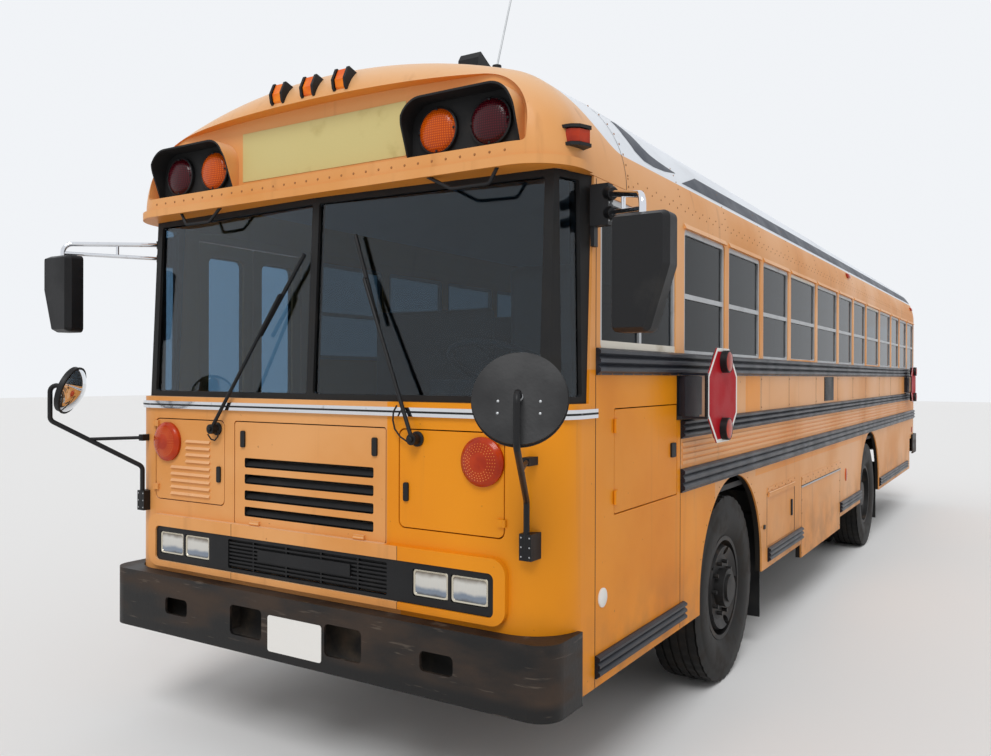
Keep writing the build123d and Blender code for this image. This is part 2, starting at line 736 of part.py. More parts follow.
def engine_panel():
    lid = front_panel_blank((-ENGINE_PANEL_HALF, ENGINE_PANEL_HALF), ENGINE_PANEL_Z, 12)
    y = (at(FRONT_FACE), at(FRONT_FACE) + 28)
    for count in range(SLOT_COUNT):
        top = SLOT_TOP_Z - count * SLOT_PITCH
        lid -= along_y(panel((-SLOT_HALF, SLOT_HALF), (top - SLOT_HIGH, top), 8), *y)
        slat = area((y[0] + 6, top - SLOT_HIGH + 8), (y[0] + 22, top - 14),
                    (y[0] + 25, top - 18), (y[0] + 9, top - SLOT_HIGH + 4))
        lid += along_x(slat, -SLOT_HALF - 2, SLOT_HALF + 2)
    for side in (-1, 1):
        x = side * 378
        lid += along_y(panel((x - 13, x + 13), (1362, 1436), 8), at(FRONT_FACE) - 7, at(FRONT_FACE) + 3)
        across = (side * 300 - HINGE_LONG / 2, side * 300 + HINGE_LONG / 2)
        pin_y, pin_z = engine_pin()
        lid += disc_along("X", (pin_y, pin_z), HINGE_RADIUS, *across)
        lid += block(across, (pin_y - 3, at(FRONT_FACE) + 3), (pin_z, pin_z + 14))
    return lid


def engine_pin():
    """Hinge line of the engine panel, on top of the lamp band, as Y and Z."""
    return (at(FRONT_FACE) - HINGE_OUT, BAND_Z[1] + HINGE_OUT)


def access_door(side):
    """A front corner door, hinged at its outer edge; side is 1 for left, -1 for right."""
    door = front_panel_blank(ACCESS_DOOR_X, ACCESS_DOOR_Z, 26)
    door -= along_y(Pos(TURN_X, TURN_Z) * Circle(TURN_RADIUS * 0.4), at(-1300), at(-1200))
    x = ACCESS_DOOR_X[0] + 38
    door += along_y(panel((x - 12, x + 12), ACCESS_LATCH_Z, 8), at(FRONT_FACE) - 7, at(FRONT_FACE) + 3)
    if side < 0:
        for row, outer in enumerate(LOUVRE_OUTER_XS):
            door += louvre(LOUVRE_TOP_Z - row * LOUVRE_PITCH, outer)
    pin_x, pin_y = access_pin()
    for z in (ACCESS_DOOR_Z[0] + 60, ACCESS_DOOR_Z[1] - 26):
        up = (z - HINGE_LONG / 4, z + HINGE_LONG / 4)
        door += Pos(pin_x, pin_y, z) * Cylinder(HINGE_RADIUS, HINGE_LONG / 2)
        door += block((pin_x - 30, pin_x), (pin_y - 3, at(FRONT_FACE) - 1), up)
        door += block((pin_x - 30, pin_x - 12), (pin_y - 3, at(FRONT_FACE) + 3), up)
    return door if side > 0 else mirrored(door)


def louvre(top, outer):
    """A pressed lip on the face of a front door, open along its lower edge."""
    face = at(FRONT_FACE) + 2
    lip = area((face, top), (face - 10, top - LOUVRE_HIGH + 3), (face, top - LOUVRE_HIGH))
    return along_x(lip, LOUVRE_INNER_X, outer)


def access_pin():
    """Hinge line of a front corner door on the left, as X and Y."""
    return (ACCESS_DOOR_X[1] + 2, at(FRONT_FACE) - HINGE_OUT)


def side_panel_door(limits, z, radius):
    x1 = BODY_HALF - 1
    span = (at(limits[0]) + PANEL_GAP, at(limits[1]) - PANEL_GAP)
    return along_x(panel(span, grown(z, -PANEL_GAP), radius), x1 - 26, x1)


def side_access_door():
    door = side_panel_door(SIDE_DOOR, SIDE_DOOR_Z, 10)
    y = at(SIDE_DOOR[1]) - 60
    door += along_x(panel((y - 28, y + 28), (1312, 1378), 8), BODY_HALF - 3, BODY_HALF + 8)
    pin_x, pin_y = side_pin()
    for z in (SIDE_DOOR_Z[0] + 70, SIDE_DOOR_Z[1] - 70):
        up = (z - HINGE_LONG / 2, z + HINGE_LONG / 2)
        door += Pos(pin_x, pin_y, z) * Cylinder(HINGE_RADIUS, HINGE_LONG)
        door += block((BODY_HALF + 1, pin_x + 3), (pin_y, pin_y + 30), up)
        door += block((BODY_HALF - 3, pin_x + 3), (pin_y + 10, pin_y + 30), up)
    return door


def side_pin():
    """Hinge line of the door in the left wall, as X and Y."""
    return (BODY_HALF + HINGE_OUT, at(SIDE_DOOR[0]) - 2)


def battery_door():
    door = side_panel_door(BATTERY_DOOR, BATTERY_DOOR_Z, 5)
    y = at(BATTERY_DOOR[1]) - 90
    door += along_x(panel((y - 14, y + 14), (740, 850), 6), BODY_HALF - 3, BODY_HALF + 8)
    pin_x, pin_z = battery_pin()
    span = (at(BATTERY_DOOR[0]) + 20, at(BATTERY_DOOR[1]) - 20)
    door += disc_along("Y", (pin_x, pin_z), HINGE_RADIUS, *span)
    door += block((BODY_HALF + 1, pin_x + 3), span, (pin_z - 24, pin_z))
    return door + block((BODY_HALF - 3, pin_x + 3), span, (pin_z - 24, pin_z - 10))


def battery_pin():
    """Hinge line of the battery door, along its top edge, as X and Z."""
    return (BODY_HALF + HINGE_OUT, BATTERY_DOOR_Z[1] + 2)


def battery_box():
    """A steel case behind the battery door, hung from the frame rail, with its batteries."""
    y = (at(BATTERY_DOOR[0]) + 2, at(BATTERY_DOOR[1]) + 30)
    z = (BATTERY_DOOR_Z[0] - 30, FRAME_LOW_Z + FRAME_HIGH - GAP)
    outer = BODY_HALF - WALL - 2
    inner = outer - BATTERY_CASE_DEEP
    case = block((inner, outer), y, z)
    case -= block((inner + BATTERY_CASE_THICK, outer + 1), grown(y, -BATTERY_CASE_THICK), grown(z, -BATTERY_CASE_THICK))
    for start in (y[0] + 60, y[1] - 120):
        case += block((FRAME_HALF, inner + 2), (start, start + 60), (z[1] - 90, z[1] - 30))
    long, wide, high = BATTERY_SIZE
    cell_x = (outer - 62 - long, outer - 62)
    cell_z = (z[0] + BATTERY_CASE_THICK, z[0] + BATTERY_CASE_THICK + high)
    for count in range(BATTERY_COUNT):
        start = y[0] + 60 + count * BATTERY_PITCH
        case += block(cell_x, (start, start + wide), cell_z)
    return [case]


def grille():
    """Black band with round-cornered lamp seats and the barred middle."""
    y0 = at(FRONT_FACE)
    out = y0 - BAND_PROUD + 6
    band = along_z(offset(nose_plan(0), BAND_PROUD - 8), *BLACK_Z) - along_z(offset(nose_plan(0), 0.3), 0, 2000)
    band &= along_y(panel(grown((-BLACK_HALF, BLACK_HALF), -1), grown(BLACK_Z, -1), 22), y0 - 60, y0 + 60)
    for x in HEADLAMP_XS:
        for side in (-1, 1):
            across = (side * x - HEADLAMP_SIZE[0] / 2, side * x + HEADLAMP_SIZE[0] / 2)
            up = (HEADLAMP_Z - HEADLAMP_SIZE[1] / 2, HEADLAMP_Z + HEADLAMP_SIZE[1] / 2)
            band -= along_y(panel(across, up, 10), y0 - 60, y0 + 60)
    opening = grown(BLACK_Z, -16)
    band -= along_y(panel((-GRILLE_HALF + 24, GRILLE_HALF - 24), opening, 8), y0 - 60, y0 + 60)
    pitch = (opening[1] - opening[0]) / (GRILLE_BARS + 1)
    for count in range(GRILLE_BARS):
        z = opening[0] + pitch * (count + 1)
        band += block((-GRILLE_HALF + 20, GRILLE_HALF - 20), (y0 - 14, y0 - 4), (z - 4, z + 4))
    for x in (-300, -100, 100, 300):
        band += block((x - 4, x + 4), (y0 - 12, y0 - 2), opening)
    band += along_y(panel((-265, 265), (HEADLAMP_Z - 18, HEADLAMP_Z + 32), 6), out, y0 - 4)
    return band


def headlamps():
    y0 = at(FRONT_FACE)
    lamps = []
    for x in HEADLAMP_XS:
        size = (HEADLAMP_SIZE[0] - 2, HEADLAMP_SIZE[1] - 2)
        lens = along_y(panel((x - size[0] / 2, x + size[0] / 2), (HEADLAMP_Z - size[1] / 2, HEADLAMP_Z + size[1] / 2), 9),
                       y0 - 16, y0 - 1)
        lamps.append(lens)
    return both_sides(lamps)


def trim_strip():
    strip = along_z(offset(nose_plan(0), TRIM_PROUD), *TRIM_Z) - along_z(nose_plan(0), 0, 2000)
    return strip - block((-1300, 1300), (at(FASCIA_REAR), at(400)), (1400, 1700))


# Windshield

def shield_plan(inset, thick):
    """A band in plan that follows the windshield, behind its outer line by inset."""
    line = [(SHIELD_END[0], SHIELD_END[1]), (SHIELD_CORNER[0], SHIELD_CORNER[1]), (0.0, SHIELD_MIDDLE)]
    full = line + [(-x, y) for x, y in reversed(line[:2])]
    outer = [(x * (1 - inset / BODY_HALF), at(y) + inset) for x, y in full]
    inner = [(x * (1 - (inset + thick) / BODY_HALF), at(y) + inset + thick) for x, y in full]
    outer[0] = (full[0][0] - inset, at(full[0][1]))
    outer[-1] = (full[-1][0] + inset, at(full[-1][1]))
    inner[0] = (full[0][0] - inset - thick, at(full[0][1]))
    inner[-1] = (full[-1][0] + inset + thick, at(full[-1][1]))
    return area(*outer, *reversed(inner))


def shield_band(inset, thick, low, top):
    lower = Plane.XY.offset(low) * shield_plan(inset, thick)
    upper = Pos(0, SHIELD_LEAN, 0) * (Plane.XY.offset(top) * shield_plan(inset, thick))
    return loft([lower, upper], ruled=True)


def shield_openings():
    z = (SHIELD_LOW_Z + SHIELD_SILL, CAP_BASE_Z - SHIELD_SILL)
    y = (at(SHIELD_MIDDLE) - 60, at(SHIELD_CORNER[1]) + 110)
    main = along_y(panel((SHIELD_POST / 2, SHIELD_CORNER[0] - SHIELD_POST), z, 12), *y)
    side = along_x(panel((at(SHIELD_CORNER[1]) + 62, at(SHIELD_END[1]) - 22), z, 10), 1050, 1250)
    return both_sides([main, side])


def windshield_frame():
    frame = shield_band(0, SHIELD_THICK, SHIELD_LOW_Z, CAP_BASE_Z)
    for opening in shield_openings():
        frame -= opening
    return frame


def windshield():
    glass = shield_band(14, GLASS, SHIELD_LOW_Z, CAP_BASE_Z)
    return [glass & opening for opening in shield_openings()]


# Lamps and hoods

def warning_hood():
    """A round-topped visor round one pair of warning lamps, deepest at its top."""
    y1 = at(FRONT_FACE) + POCKET_DEPTH
    top = HOOD_Z[1]
    outline = panel(HOOD_X, HOOD_Z)
    outline = fillet(outline.vertices().sort_by(Axis.Y)[-2:], 105)
    shell = along_y(outline, y1 - HOOD_DEEP, y1 - 0.3)
    inner = fillet(panel(grown(HOOD_X, -HOOD_SKIN), (HOOD_Z[0] - 20, top - HOOD_SKIN)).vertices().sort_by(Axis.Y)[-2:], 97)
    shell -= along_y(inner, y1 - HOOD_DEEP - 1, y1 - HOOD_SKIN)
    slope = area((y1 - HOOD_DEEP - 1, top - 60), (y1 - HOOD_DEEP - 1, HOOD_Z[0] - 1), (y1 - 30, HOOD_Z[0] - 1))
    return shell - along_x(slope, HOOD_X[0] - 5, HOOD_X[1] + 5)


def warning_lamp(x, back, deep):
    return Pos(x, 0, 0) * disc_along("Y", (0, WARNING_Z), WARNING_RADIUS, back - deep, back)


def marker_planes():
    """Where each marker lamp sits: out of the cap along Z, its length along Y to the rear."""
    planes = []
    for x in CROWN_MARKER_XS:
        planes.append(Plane(origin=(x, at(CROWN_MARKER[0]), CROWN_MARKER[1]), x_dir=(1, 0, 0), z_dir=(0, -1, 1)))
    x, station, z = SIDE_MARKER
    planes.append(Plane(origin=(x, at(station), z), x_dir=(0, 0, -1), z_dir=(1, 0, 0)))
    planes.append(Plane(origin=(-x, at(station), z), x_dir=(0, 0, 1), z_dir=(-1, 0, 0)))
    return planes


def marker_lens(plane):
    half = MARKER_WIDE / 2
    return plane * along_x(area(*MARKER_WEDGE), -half, half) - cap_form(-SEAT_GAP)


def marker_guards(plane):
    """Two fins, one on each side of the lens, a little larger than it."""
    half = MARKER_WIDE / 2 + SEAT_GAP
    fin = offset(area(*MARKER_WEDGE), 6)
    fins = [along_x(fin, half, half + MARKER_GUARD), along_x(fin, -half - MARKER_GUARD, -half)]
    return [plane * side - cap_form(-SEAT_GAP) for side in fins]


def amber_lamps():
    front = at(FRONT_FACE) + POCKET_DEPTH - HOOD_SKIN - SEAT_GAP
    rear = at(REAR_FACE) + SEAT_GAP
    lamps = [warning_lamp(AMBER_X, front, LAMP_PROUD)]
    lamps.append(disc_along("Y", (AMBER_X, WARNING_Z), WARNING_RADIUS, rear, rear + LAMP_PROUD))
    lamps.append(disc_along("Y", (760, 1420), WARNING_RADIUS, rear, rear + 34))
    return both_sides(lamps) + [marker_lens(plane) for plane in marker_planes()]


def turn_lamp():
    return disc_along("Y", (TURN_X, TURN_Z), TURN_RADIUS, at(FRONT_FACE) - 38, at(FRONT_FACE) + 0.7)


def red_lamps():
    front = at(FRONT_FACE) + POCKET_DEPTH - HOOD_SKIN - SEAT_GAP
    rear = at(REAR_FACE) + SEAT_GAP
    lamps = [warning_lamp(RED_X, front, LAMP_PROUD)]
    lamps.append(disc_along("Y", (RED_X, WARNING_Z), WARNING_RADIUS, rear, rear + LAMP_PROUD))
    lamps.append(disc_along("Y", (980, 1420), WARNING_RADIUS, rear, rear + 34))
    lamps.append(disc_along("Y", (980, 1130), 60, rear, rear + 30))
    return both_sides(lamps)


# Bumpers, mirrors, wipers and flaps

def bumper_plan(inset, face, end, half):
    outline = panel((-half + inset, half - inset), sorted((face + (inset if face < end else -inset), end)))
    vertices = outline.vertices().sort_by(Axis.Y)
    corners = vertices[:2] if face < end else vertices[-2:]
    return fillet(corners, 95 - inset)


def front_bumper():
    face = at(BUMPER_FACE)
    end = at(BUMPER_REAR_END)
    bar = along_z(bumper_plan(0, face, end, BUMPER_HALF), *BUMPER_Z)
    bar -= along_z(bumper_plan(BUMPER_PLATE, face, end + 20, BUMPER_HALF), BUMPER_Z[0] + 12, BUMPER_Z[1] - 12)
    bar -= along_z(offset(nose_plan(0), GAP), 0, 2000)
    middle = (BUMPER_Z[0] + BUMPER_Z[1]) / 2
    for x, wide, high in BUMPER_HOLES:
        for side in (-1, 1):
            hole = panel((side * x - wide / 2, side * x + wide / 2), (middle - high / 2, middle + high / 2), 20)
            bar -= along_y(hole, face - 5, face + BUMPER_PLATE + 5)
    return bar


def rear_bumper():
    face = at(REAR_BUMPER_FACE)
    end = at(REAR_SEAM - 230)
    bar = along_z(bumper_plan(0, face, end, BUMPER_HALF), *REAR_BUMPER_Z)
    bar -= along_z(bumper_plan(BUMPER_PLATE, face, end - 20, BUMPER_HALF),
                   REAR_BUMPER_Z[0] + BUMPER_PLATE, REAR_BUMPER_Z[1] - BUMPER_PLATE)
    inner = BODY_HALF + 3
    return bar - block((-inner, inner), (end - 20, at(REAR_FACE) + GAP), (0, 2000))


def mirror_head(x, station, top):
    """A housing that tapers on its outer side towards the bottom, domed to the front."""
    side = math.copysign(1, x)
    wide, deep, high = MIRROR_SIZE
    outline = [(-wide / 2, top), (wide / 2, top), (wide / 2, top - high * 0.45), (wide / 6, top - high),
               (-wide / 2, top - high)]
    face = area(*[(x + side * out, z) for out, z in outline])
    face = fillet(face.vertices(), 24)
    y = (at(station) - deep / 2, at(station) + deep / 2)
    shell = along_y(face, y[0] + MIRROR_NOSE, y[1])
    return shell + extrude(Plane.XZ.offset(-y[0] - MIRROR_NOSE) * face, amount=MIRROR_NOSE, taper=25)


def mirror_arm(x, station, top):
    """Two tubes from a clamp on the corner post, joined by a strut, down to the head."""
    side = math.copysign(1, x)
    root = side * (BODY_HALF + MIRROR_ROOT_OUT)
    root_y = at((MIRROR_CLAMP[0] + MIRROR_CLAMP[1]) / 2)
    y = at(station)
    high = (Vector(root, root_y, MIRROR_CLAMP_Z[1] - 35), Vector(x, y, top + 60))
    low = (Vector(root, root_y, MIRROR_CLAMP_Z[0] + 45), Vector(x, y, top + 14))
    arm = rod([*high, Vector(x, y, top + SEAT_GAP)], 12, 45) + rod(low, 10, 30)
    strut = [start + (end - start) * 0.5 for start, end in (high, low)]
    clamp_x = sorted((side * (BODY_HALF + SEAT_GAP), side * (BODY_HALF + MIRROR_ROOT_OUT + 15)))
    clamp = block(clamp_x, (at(MIRROR_CLAMP[0]), at(MIRROR_CLAMP[1])), MIRROR_CLAMP_Z)
    return arm + rod(strut, 8, 10) + clamp


def crossview_plane(x, station):
    """Middle of a round mirror's rim, facing down and back towards the driver's eye."""
    look = Vector(DRIVER_X - x, at(DRIVER_STATION) - at(station), 0).normalized()
    return Plane(origin=(x, at(station), CROSSVIEW_Z), z_dir=Vector(look.X, look.Y, -0.35))


def crossview(x, station, radius, foot_x):
    bulge = CROSSVIEW_BULGE * radius
    ball = (radius**2 + bulge**2) / (2 * bulge)
    drum = extrude(Plane.XY.offset(-CROSSVIEW_BACK) * Circle(radius), amount=CROSSVIEW_BACK + bulge)
    return crossview_plane(x, station) * (drum & Pos(0, 0, bulge - ball) * Sphere(ball))


def crossview_arm(x, station, radius, foot_x):
    """A tube from the dish down to its bracket, with a brace back to the fascia."""
    plane = crossview_plane(x, station)
    back = plane.origin - plane.z_dir * (CROSSVIEW_BACK + SEAT_GAP)
    knee = back - plane.z_dir * CROSSVIEW_KNEE
    foot_y = at(FRONT_FACE) - 23
    bend = Vector(knee.X, knee.Y, CROSSVIEW_BEND_Z[0])
    elbow = Vector(foot_x, foot_y, CROSSVIEW_BEND_Z[1])
    arm = rod([back, knee, bend, elbow, (foot_x, foot_y, CROSSVIEW_FOOT_Z[0] + 30)], CROSSVIEW_TUBE, 30)
    rest = Vector(foot_x, foot_y, CROSSVIEW_BRACE_Z)
    arm += rod([bend + (elbow - bend) * 0.4, rest], 8, 10)
    inside = at(FRONT_FACE) + CORNER_RADIUS / 2
    arm += block(grown((foot_x, foot_x), 25), (foot_y - 10, inside), CROSSVIEW_FOOT_Z)
    arm += block(grown((foot_x, foot_x), 15), (foot_y - 10, inside), grown((rest.Z, rest.Z), 15))
    return arm - along_z(offset(nose_plan(0), SEAT_GAP), 0, EAVE_Z)


def mirror_arms():
    return [mirror_arm(*mirror) for mirror in MIRRORS] + [crossview_arm(*mirror) for mirror in CROSSVIEWS]


def mirror_heads():
    return [mirror_head(*mirror) for mirror in MIRRORS] + [crossview(*mirror) for mirror in CROSSVIEWS]


def shield_y(x, z):
    """Outer face of the windshield at a place, from its plan and its lean."""
    across = SHIELD_MIDDLE + (SHIELD_CORNER[1] - SHIELD_MIDDLE) * abs(x) / SHIELD_CORNER[0]
    return at(across) + SHIELD_LEAN * (z - SHIELD_LOW_Z) / (CAP_BASE_Z - SHIELD_LOW_Z)


def wiper(pivot, tip_x, tip_z, foot_x, foot_z):
    base_y = at(FRONT_FACE)
    middle = ((tip_x + foot_x) / 2, (tip_z + foot_z) / 2)
    hub = disc_along("Y", (pivot, WIPER_PIVOT_Z), 22, base_y - 44, base_y + 0.7)
    elbow = shield_y(*middle) - 34
    arm = rod([(pivot, base_y - 36, WIPER_PIVOT_Z), (middle[0], elbow, middle[1])], 8, 10)
    blade = rod([(tip_x, shield_y(tip_x, tip_z) - 18, tip_z), (foot_x, shield_y(foot_x, foot_z) - 18, foot_z)], 9, 10)
    link = rod([(middle[0], elbow, middle[1]), (middle[0], shield_y(*middle) - 18, middle[1])], 7, 10)
    return hub + arm + blade + link


def mud_flaps():
    front = BATTERY_DOOR[0] - 20
    rear = FRONT_AXLE + WHEELBASE + ARCH_RADIUS + 40
    outer = BODY_HALF - WALL - SEAT_GAP
    flaps = [block((900, outer), (at(front), at(front) + 10), (190, ARCH_CENTRE_Z + 260))]
    flaps.append(block((570, outer), (at(rear), at(rear) + 10), (190, FLOOR_Z - 300)))
    return both_sides(flaps)


# Chassis, axles and engine

def chassis_frame():
    y = (at(FRAME_FRONT), at(FRAME_REAR))
    top = FRAME_LOW_Z + FRAME_HIGH
    inner = FRAME_HALF - FRAME_PLATE
    channel = area((FRAME_HALF, FRAME_LOW_Z), (FRAME_HALF, top), (FRAME_HALF - FRAME_FLANGE, top),
                   (FRAME_HALF - FRAME_FLANGE, top - FRAME_PLATE), (inner, top - FRAME_PLATE),
                   (inner, FRAME_LOW_Z + FRAME_PLATE), (FRAME_HALF - FRAME_FLANGE, FRAME_LOW_Z + FRAME_PLATE),
                   (FRAME_HALF - FRAME_FLANGE, FRAME_LOW_Z))
    left = along_y(channel, *y)
    horn = (FRAME_HALF - 20, FRAME_HALF)
    front_z = (BUMPER_Z[0] + 60, BUMPER_Z[1] - BUMPER_PLATE - GAP)
    left += block(horn, (at(BUMPER_FACE) + BUMPER_PLATE + SEAT_GAP, y[0] + 150), front_z)
    rear_z = (REAR_BUMPER_Z[0] + BUMPER_PLATE + GAP, REAR_WALL_Z - GAP)
    left += block(horn, (y[1] - 150, at(REAR_BUMPER_FACE) - BUMPER_PLATE - SEAT_GAP), rear_z)
    frame = left + mirrored(left)
    for station in CROSSMEMBERS:
        frame += block((-inner - 2, inner + 2), (at(station), at(station) + 70), (FRAME_LOW_Z + 60, top - 30))
    frame += block((-inner - 2, inner + 2), (y[0] + 20, y[0] + 90), (FRAME_LOW_Z + 5, FRAME_LOW_Z + 70))
    plate_y = at(FRONT_FACE) + WALL + 10
    plate_half = BODY_HALF - 264
    frame += block((-plate_half, plate_half), (plate_y, plate_y + 8), (BUMPER_Z[0] + 20, BUMPER_Z[1] - 8))
    for station in (-760, -260):
        frame += block((-FRAME_HALF, FRAME_HALF), (at(station), at(station) + 90), (FRAME_LOW_Z - 40, FRAME_LOW_Z))
    return frame


def leaf_spring(axle, long, low):
    """A flat pack of leaves, bowed down in the middle, with its hangers up to the frame rail."""
    y = at(axle)
    x = (FRAME_HALF - 80, FRAME_HALF - 4)
    arc = ThreePointArc((y - long / 2, FRAME_LOW_Z - 70), (y, low), (y + long / 2, FRAME_LOW_Z - 70))
    back = ThreePointArc((y + long / 2, FRAME_LOW_Z - 54), (y, low + 60), (y - long / 2, FRAME_LOW_Z - 54))
    ends = Line((y + long / 2, FRAME_LOW_Z - 70), (y + long / 2, FRAME_LOW_Z - 54))
    ends += Line((y - long / 2, FRAME_LOW_Z - 54), (y - long / 2, FRAME_LOW_Z - 70))
    pack = along_x(make_face(arc + back + ends), *x)
    for end in (y - long / 2, y + long / 2):
        pack += block(x, (end - 35, end + 35), (FRAME_LOW_Z - 90, FRAME_LOW_Z - 0.3))
    return pack


def front_axle():
    y = at(FRONT_AXLE)
    reach = KINGPIN_X
    half = [(reach, TYRE_RADIUS + 40), (reach - 55, TYRE_RADIUS + 40), (reach - 170, TYRE_RADIUS - 5)]
    low = [(reach - 160, TYRE_RADIUS - 90), (reach - 55, TYRE_RADIUS - 40), (reach, TYRE_RADIUS - 40)]
    beam = area(*half, *[(-x, z) for x, z in reversed(half)], *[(-x, z) for x, z in reversed(low)], *low)
    axle = along_y(beam, y - 45, y + 45)
    for side in (-1, 1):
        axle += Pos(side * reach, y, TYRE_RADIUS) * Cylinder(42, 96)
        axle += Pos(side * reach, y, TYRE_RADIUS) * Cylinder(KINGPIN_RADIUS, 240)
    spring = leaf_spring(FRONT_AXLE, 1350, TYRE_RADIUS - 12)
    return axle + spring + mirrored(spring)


def rear_axle():
    y = at(FRONT_AXLE + WHEELBASE)
    inner = DUAL_OUTER_X - DUAL_PITCH - TYRE_WIDE / 2
    axle = disc_along("X", (y, TYRE_RADIUS), 80, -inner - 40, inner + 40)
    axle += Pos(0, y, TYRE_RADIUS) * Rot(90, 0, 0) * Cylinder(205, 200)
    axle += disc_along("X", (y, TYRE_RADIUS), AXLE_STUB, -DUAL_OUTER_X - 60, DUAL_OUTER_X + 60)
    shaft_z = GEARBOX_Z - 130
    shaft_y = at(GEARBOX[1])
    axle += rod([(0, shaft_y + SEAT_GAP, shaft_z), (0, shaft_y + 60, shaft_z), (0, y - 80, TYRE_RADIUS + 20)], 50, 120)
    spring = leaf_spring(FRONT_AXLE + WHEELBASE, 1500, TYRE_RADIUS + 75)
    return axle + spring + mirrored(spring)


def engine():
    block_y = (at(-1000), at(-90))
    body = block((-335, 335), block_y, (FRAME_LOW_Z + 0.3, 1390))
    radiator = block((-385, 385), (at(-1140), at(-1050)), (800, 1440))
    gearbox = disc_along("Y", (0, GEARBOX_Z), 190, at(GEARBOX[0]), at(GEARBOX[1]))
    shroud = disc_along("Y", (0, 1120), 280, at(-1050), at(-1000))
    return [body + gearbox + radiator + shroud]


def fuel_tank():
    y = (at(FUEL_PANEL[0]) + 60, at(FUEL_PANEL[1]) - 60)
    tank = along_y(panel((560, BODY_HALF - WALL - 12), (FUEL_PANEL_Z + 22, 930), 60), *y)
    for start in (y[0] + 200, y[1] - 260):
        tank += block((FRAME_HALF + 0.3, 640), (start, start + 60), (740, 860))
    return tank


def exhaust():
    x = -720.0
    z = 800.0
    muffler = Pos(x, 0, 0) * disc_along("Y", (0, z), 125, at(2500), at(3600))
    tail = rod([(x, at(3590), z), (x, at(4250), z), (x - 180, at(4560), 450), (-BODY_HALF + 10, at(4600), 440)], 48, 90)
    front = rod([(x, at(2510), z), (x, at(1700), z), (-FRAME_HALF - 60, at(1560), z)], 45, 90)
    hangers = block((x, -FRAME_HALF - 0.3), (at(2700), at(2740)), (z + 20, z + 60))
    hangers += block((x, -FRAME_HALF - 0.3), (at(3350), at(3390)), (z + 20, z + 60))
    return muffler + tail + front + hangers


# Wheels

def tyre_profile(width, centre_x):
    """Half section of a tyre from the bead round to the other bead, X across and Z out."""
    half = width / 2
    bead = RIM_RADIUS - 14
    rim_half = half - 34
    crown = TYRE_RADIUS
    shoulder = crown - 26
    points = [(centre_x - rim_half, bead), (centre_x - rim_half, bead + 17), (centre_x - half, bead + 105),
              (centre_x - half + 8, shoulder - 20),
              (centre_x - half + 30, crown - 4), (centre_x, crown), (centre_x + half - 30, crown - 4),
              (centre_x + half - 8, shoulder - 20), (centre_x + half, bead + 105), (centre_x + rim_half, bead + 17),
              (centre_x + rim_half, bead),
              (centre_x + rim_half - 16, bead), (centre_x + half - 44, bead + 60), (centre_x + half - 60, shoulder - 34),
              (centre_x - half + 60, shoulder - 34), (centre_x - half + 44, bead + 60), (centre_x - rim_half + 16, bead)]
    return area(*points)


def turned(face, axle):
    """Turn a face drawn with X across and Z outwards about the axle's line along X."""
    line = Axis((0, 0, 0), (1, 0, 0))
    return Pos(0, at(axle), TYRE_RADIUS) * revolve(Plane.XZ * face, axis=line)


def disc_wheel(centre_x, dish):
    """A steel disc wheel; dish is how far the disc lies towards plus X from the rim's middle."""
    half = TYRE_WIDE / 2 - 34
    outer = RIM_RADIUS - 14.3
    face = area((centre_x - half, outer), (centre_x - half, outer + RIM_LIP), (centre_x - half - 9, outer + RIM_LIP),
                (centre_x - half - 9, outer - 12), (centre_x - half + 30, outer - 12), (centre_x - half + 60, outer - 34),
                (centre_x + dish - 16, outer - 34), (centre_x + dish - 30, 170), (centre_x + dish - 12, 60),
                (centre_x + dish, 60), (centre_x + dish, 176), (centre_x + dish + 22, outer - 46),
                (centre_x + half - 60, outer - 22), (centre_x + half - 30, outer - 12), (centre_x + half + 9, outer - 12),
                (centre_x + half + 9, outer + RIM_LIP), (centre_x + half, outer + RIM_LIP), (centre_x + half, outer))
    return face


def ring_of(shape_at, count, radius):
    """Copies round the wheel's axis, each made at its own Y and Z offset from the axle."""
    found = []
    for number in range(count):
        angle = math.radians(360 * number / count)
        found.append(shape_at(radius * math.cos(angle), radius * math.sin(angle)))
    return found


def bar_x(axle, start, end, radius):
    """A maker of round bars along X, placed by their offset from an axle."""
    def make(dy, dz):
        return disc_along("X", (at(axle) + dy, TYRE_RADIUS + dz), radius, start, end)
    return make


def front_wheel():
    centre = FRONT_TRACK_HALF
    dish = 95.0
    wheel = turned(disc_wheel(centre, dish), FRONT_AXLE)
    start = centre + dish
    wheel += disc_along("X", (at(FRONT_AXLE), TYRE_RADIUS), HUB_RADIUS, start - 70, start + 48)
    wheel += disc_along("X", (at(FRONT_AXLE), TYRE_RADIUS), HUB_RADIUS - 30, start + 40, start + 62)
    wheel -= disc_along("X", (at(FRONT_AXLE), TYRE_RADIUS), SPINDLE_RADIUS + SEAT_GAP, start - 90, start + 20)
    for hole in ring_of(bar_x(FRONT_AXLE, start - 60, start + 60, 24), 5, 205):
        wheel -= hole
    for stud in ring_of(bar_x(FRONT_AXLE, start - 4, start + 28, STUD_RADIUS), STUD_COUNT, STUD_CIRCLE):
        wheel += stud
    return wheel


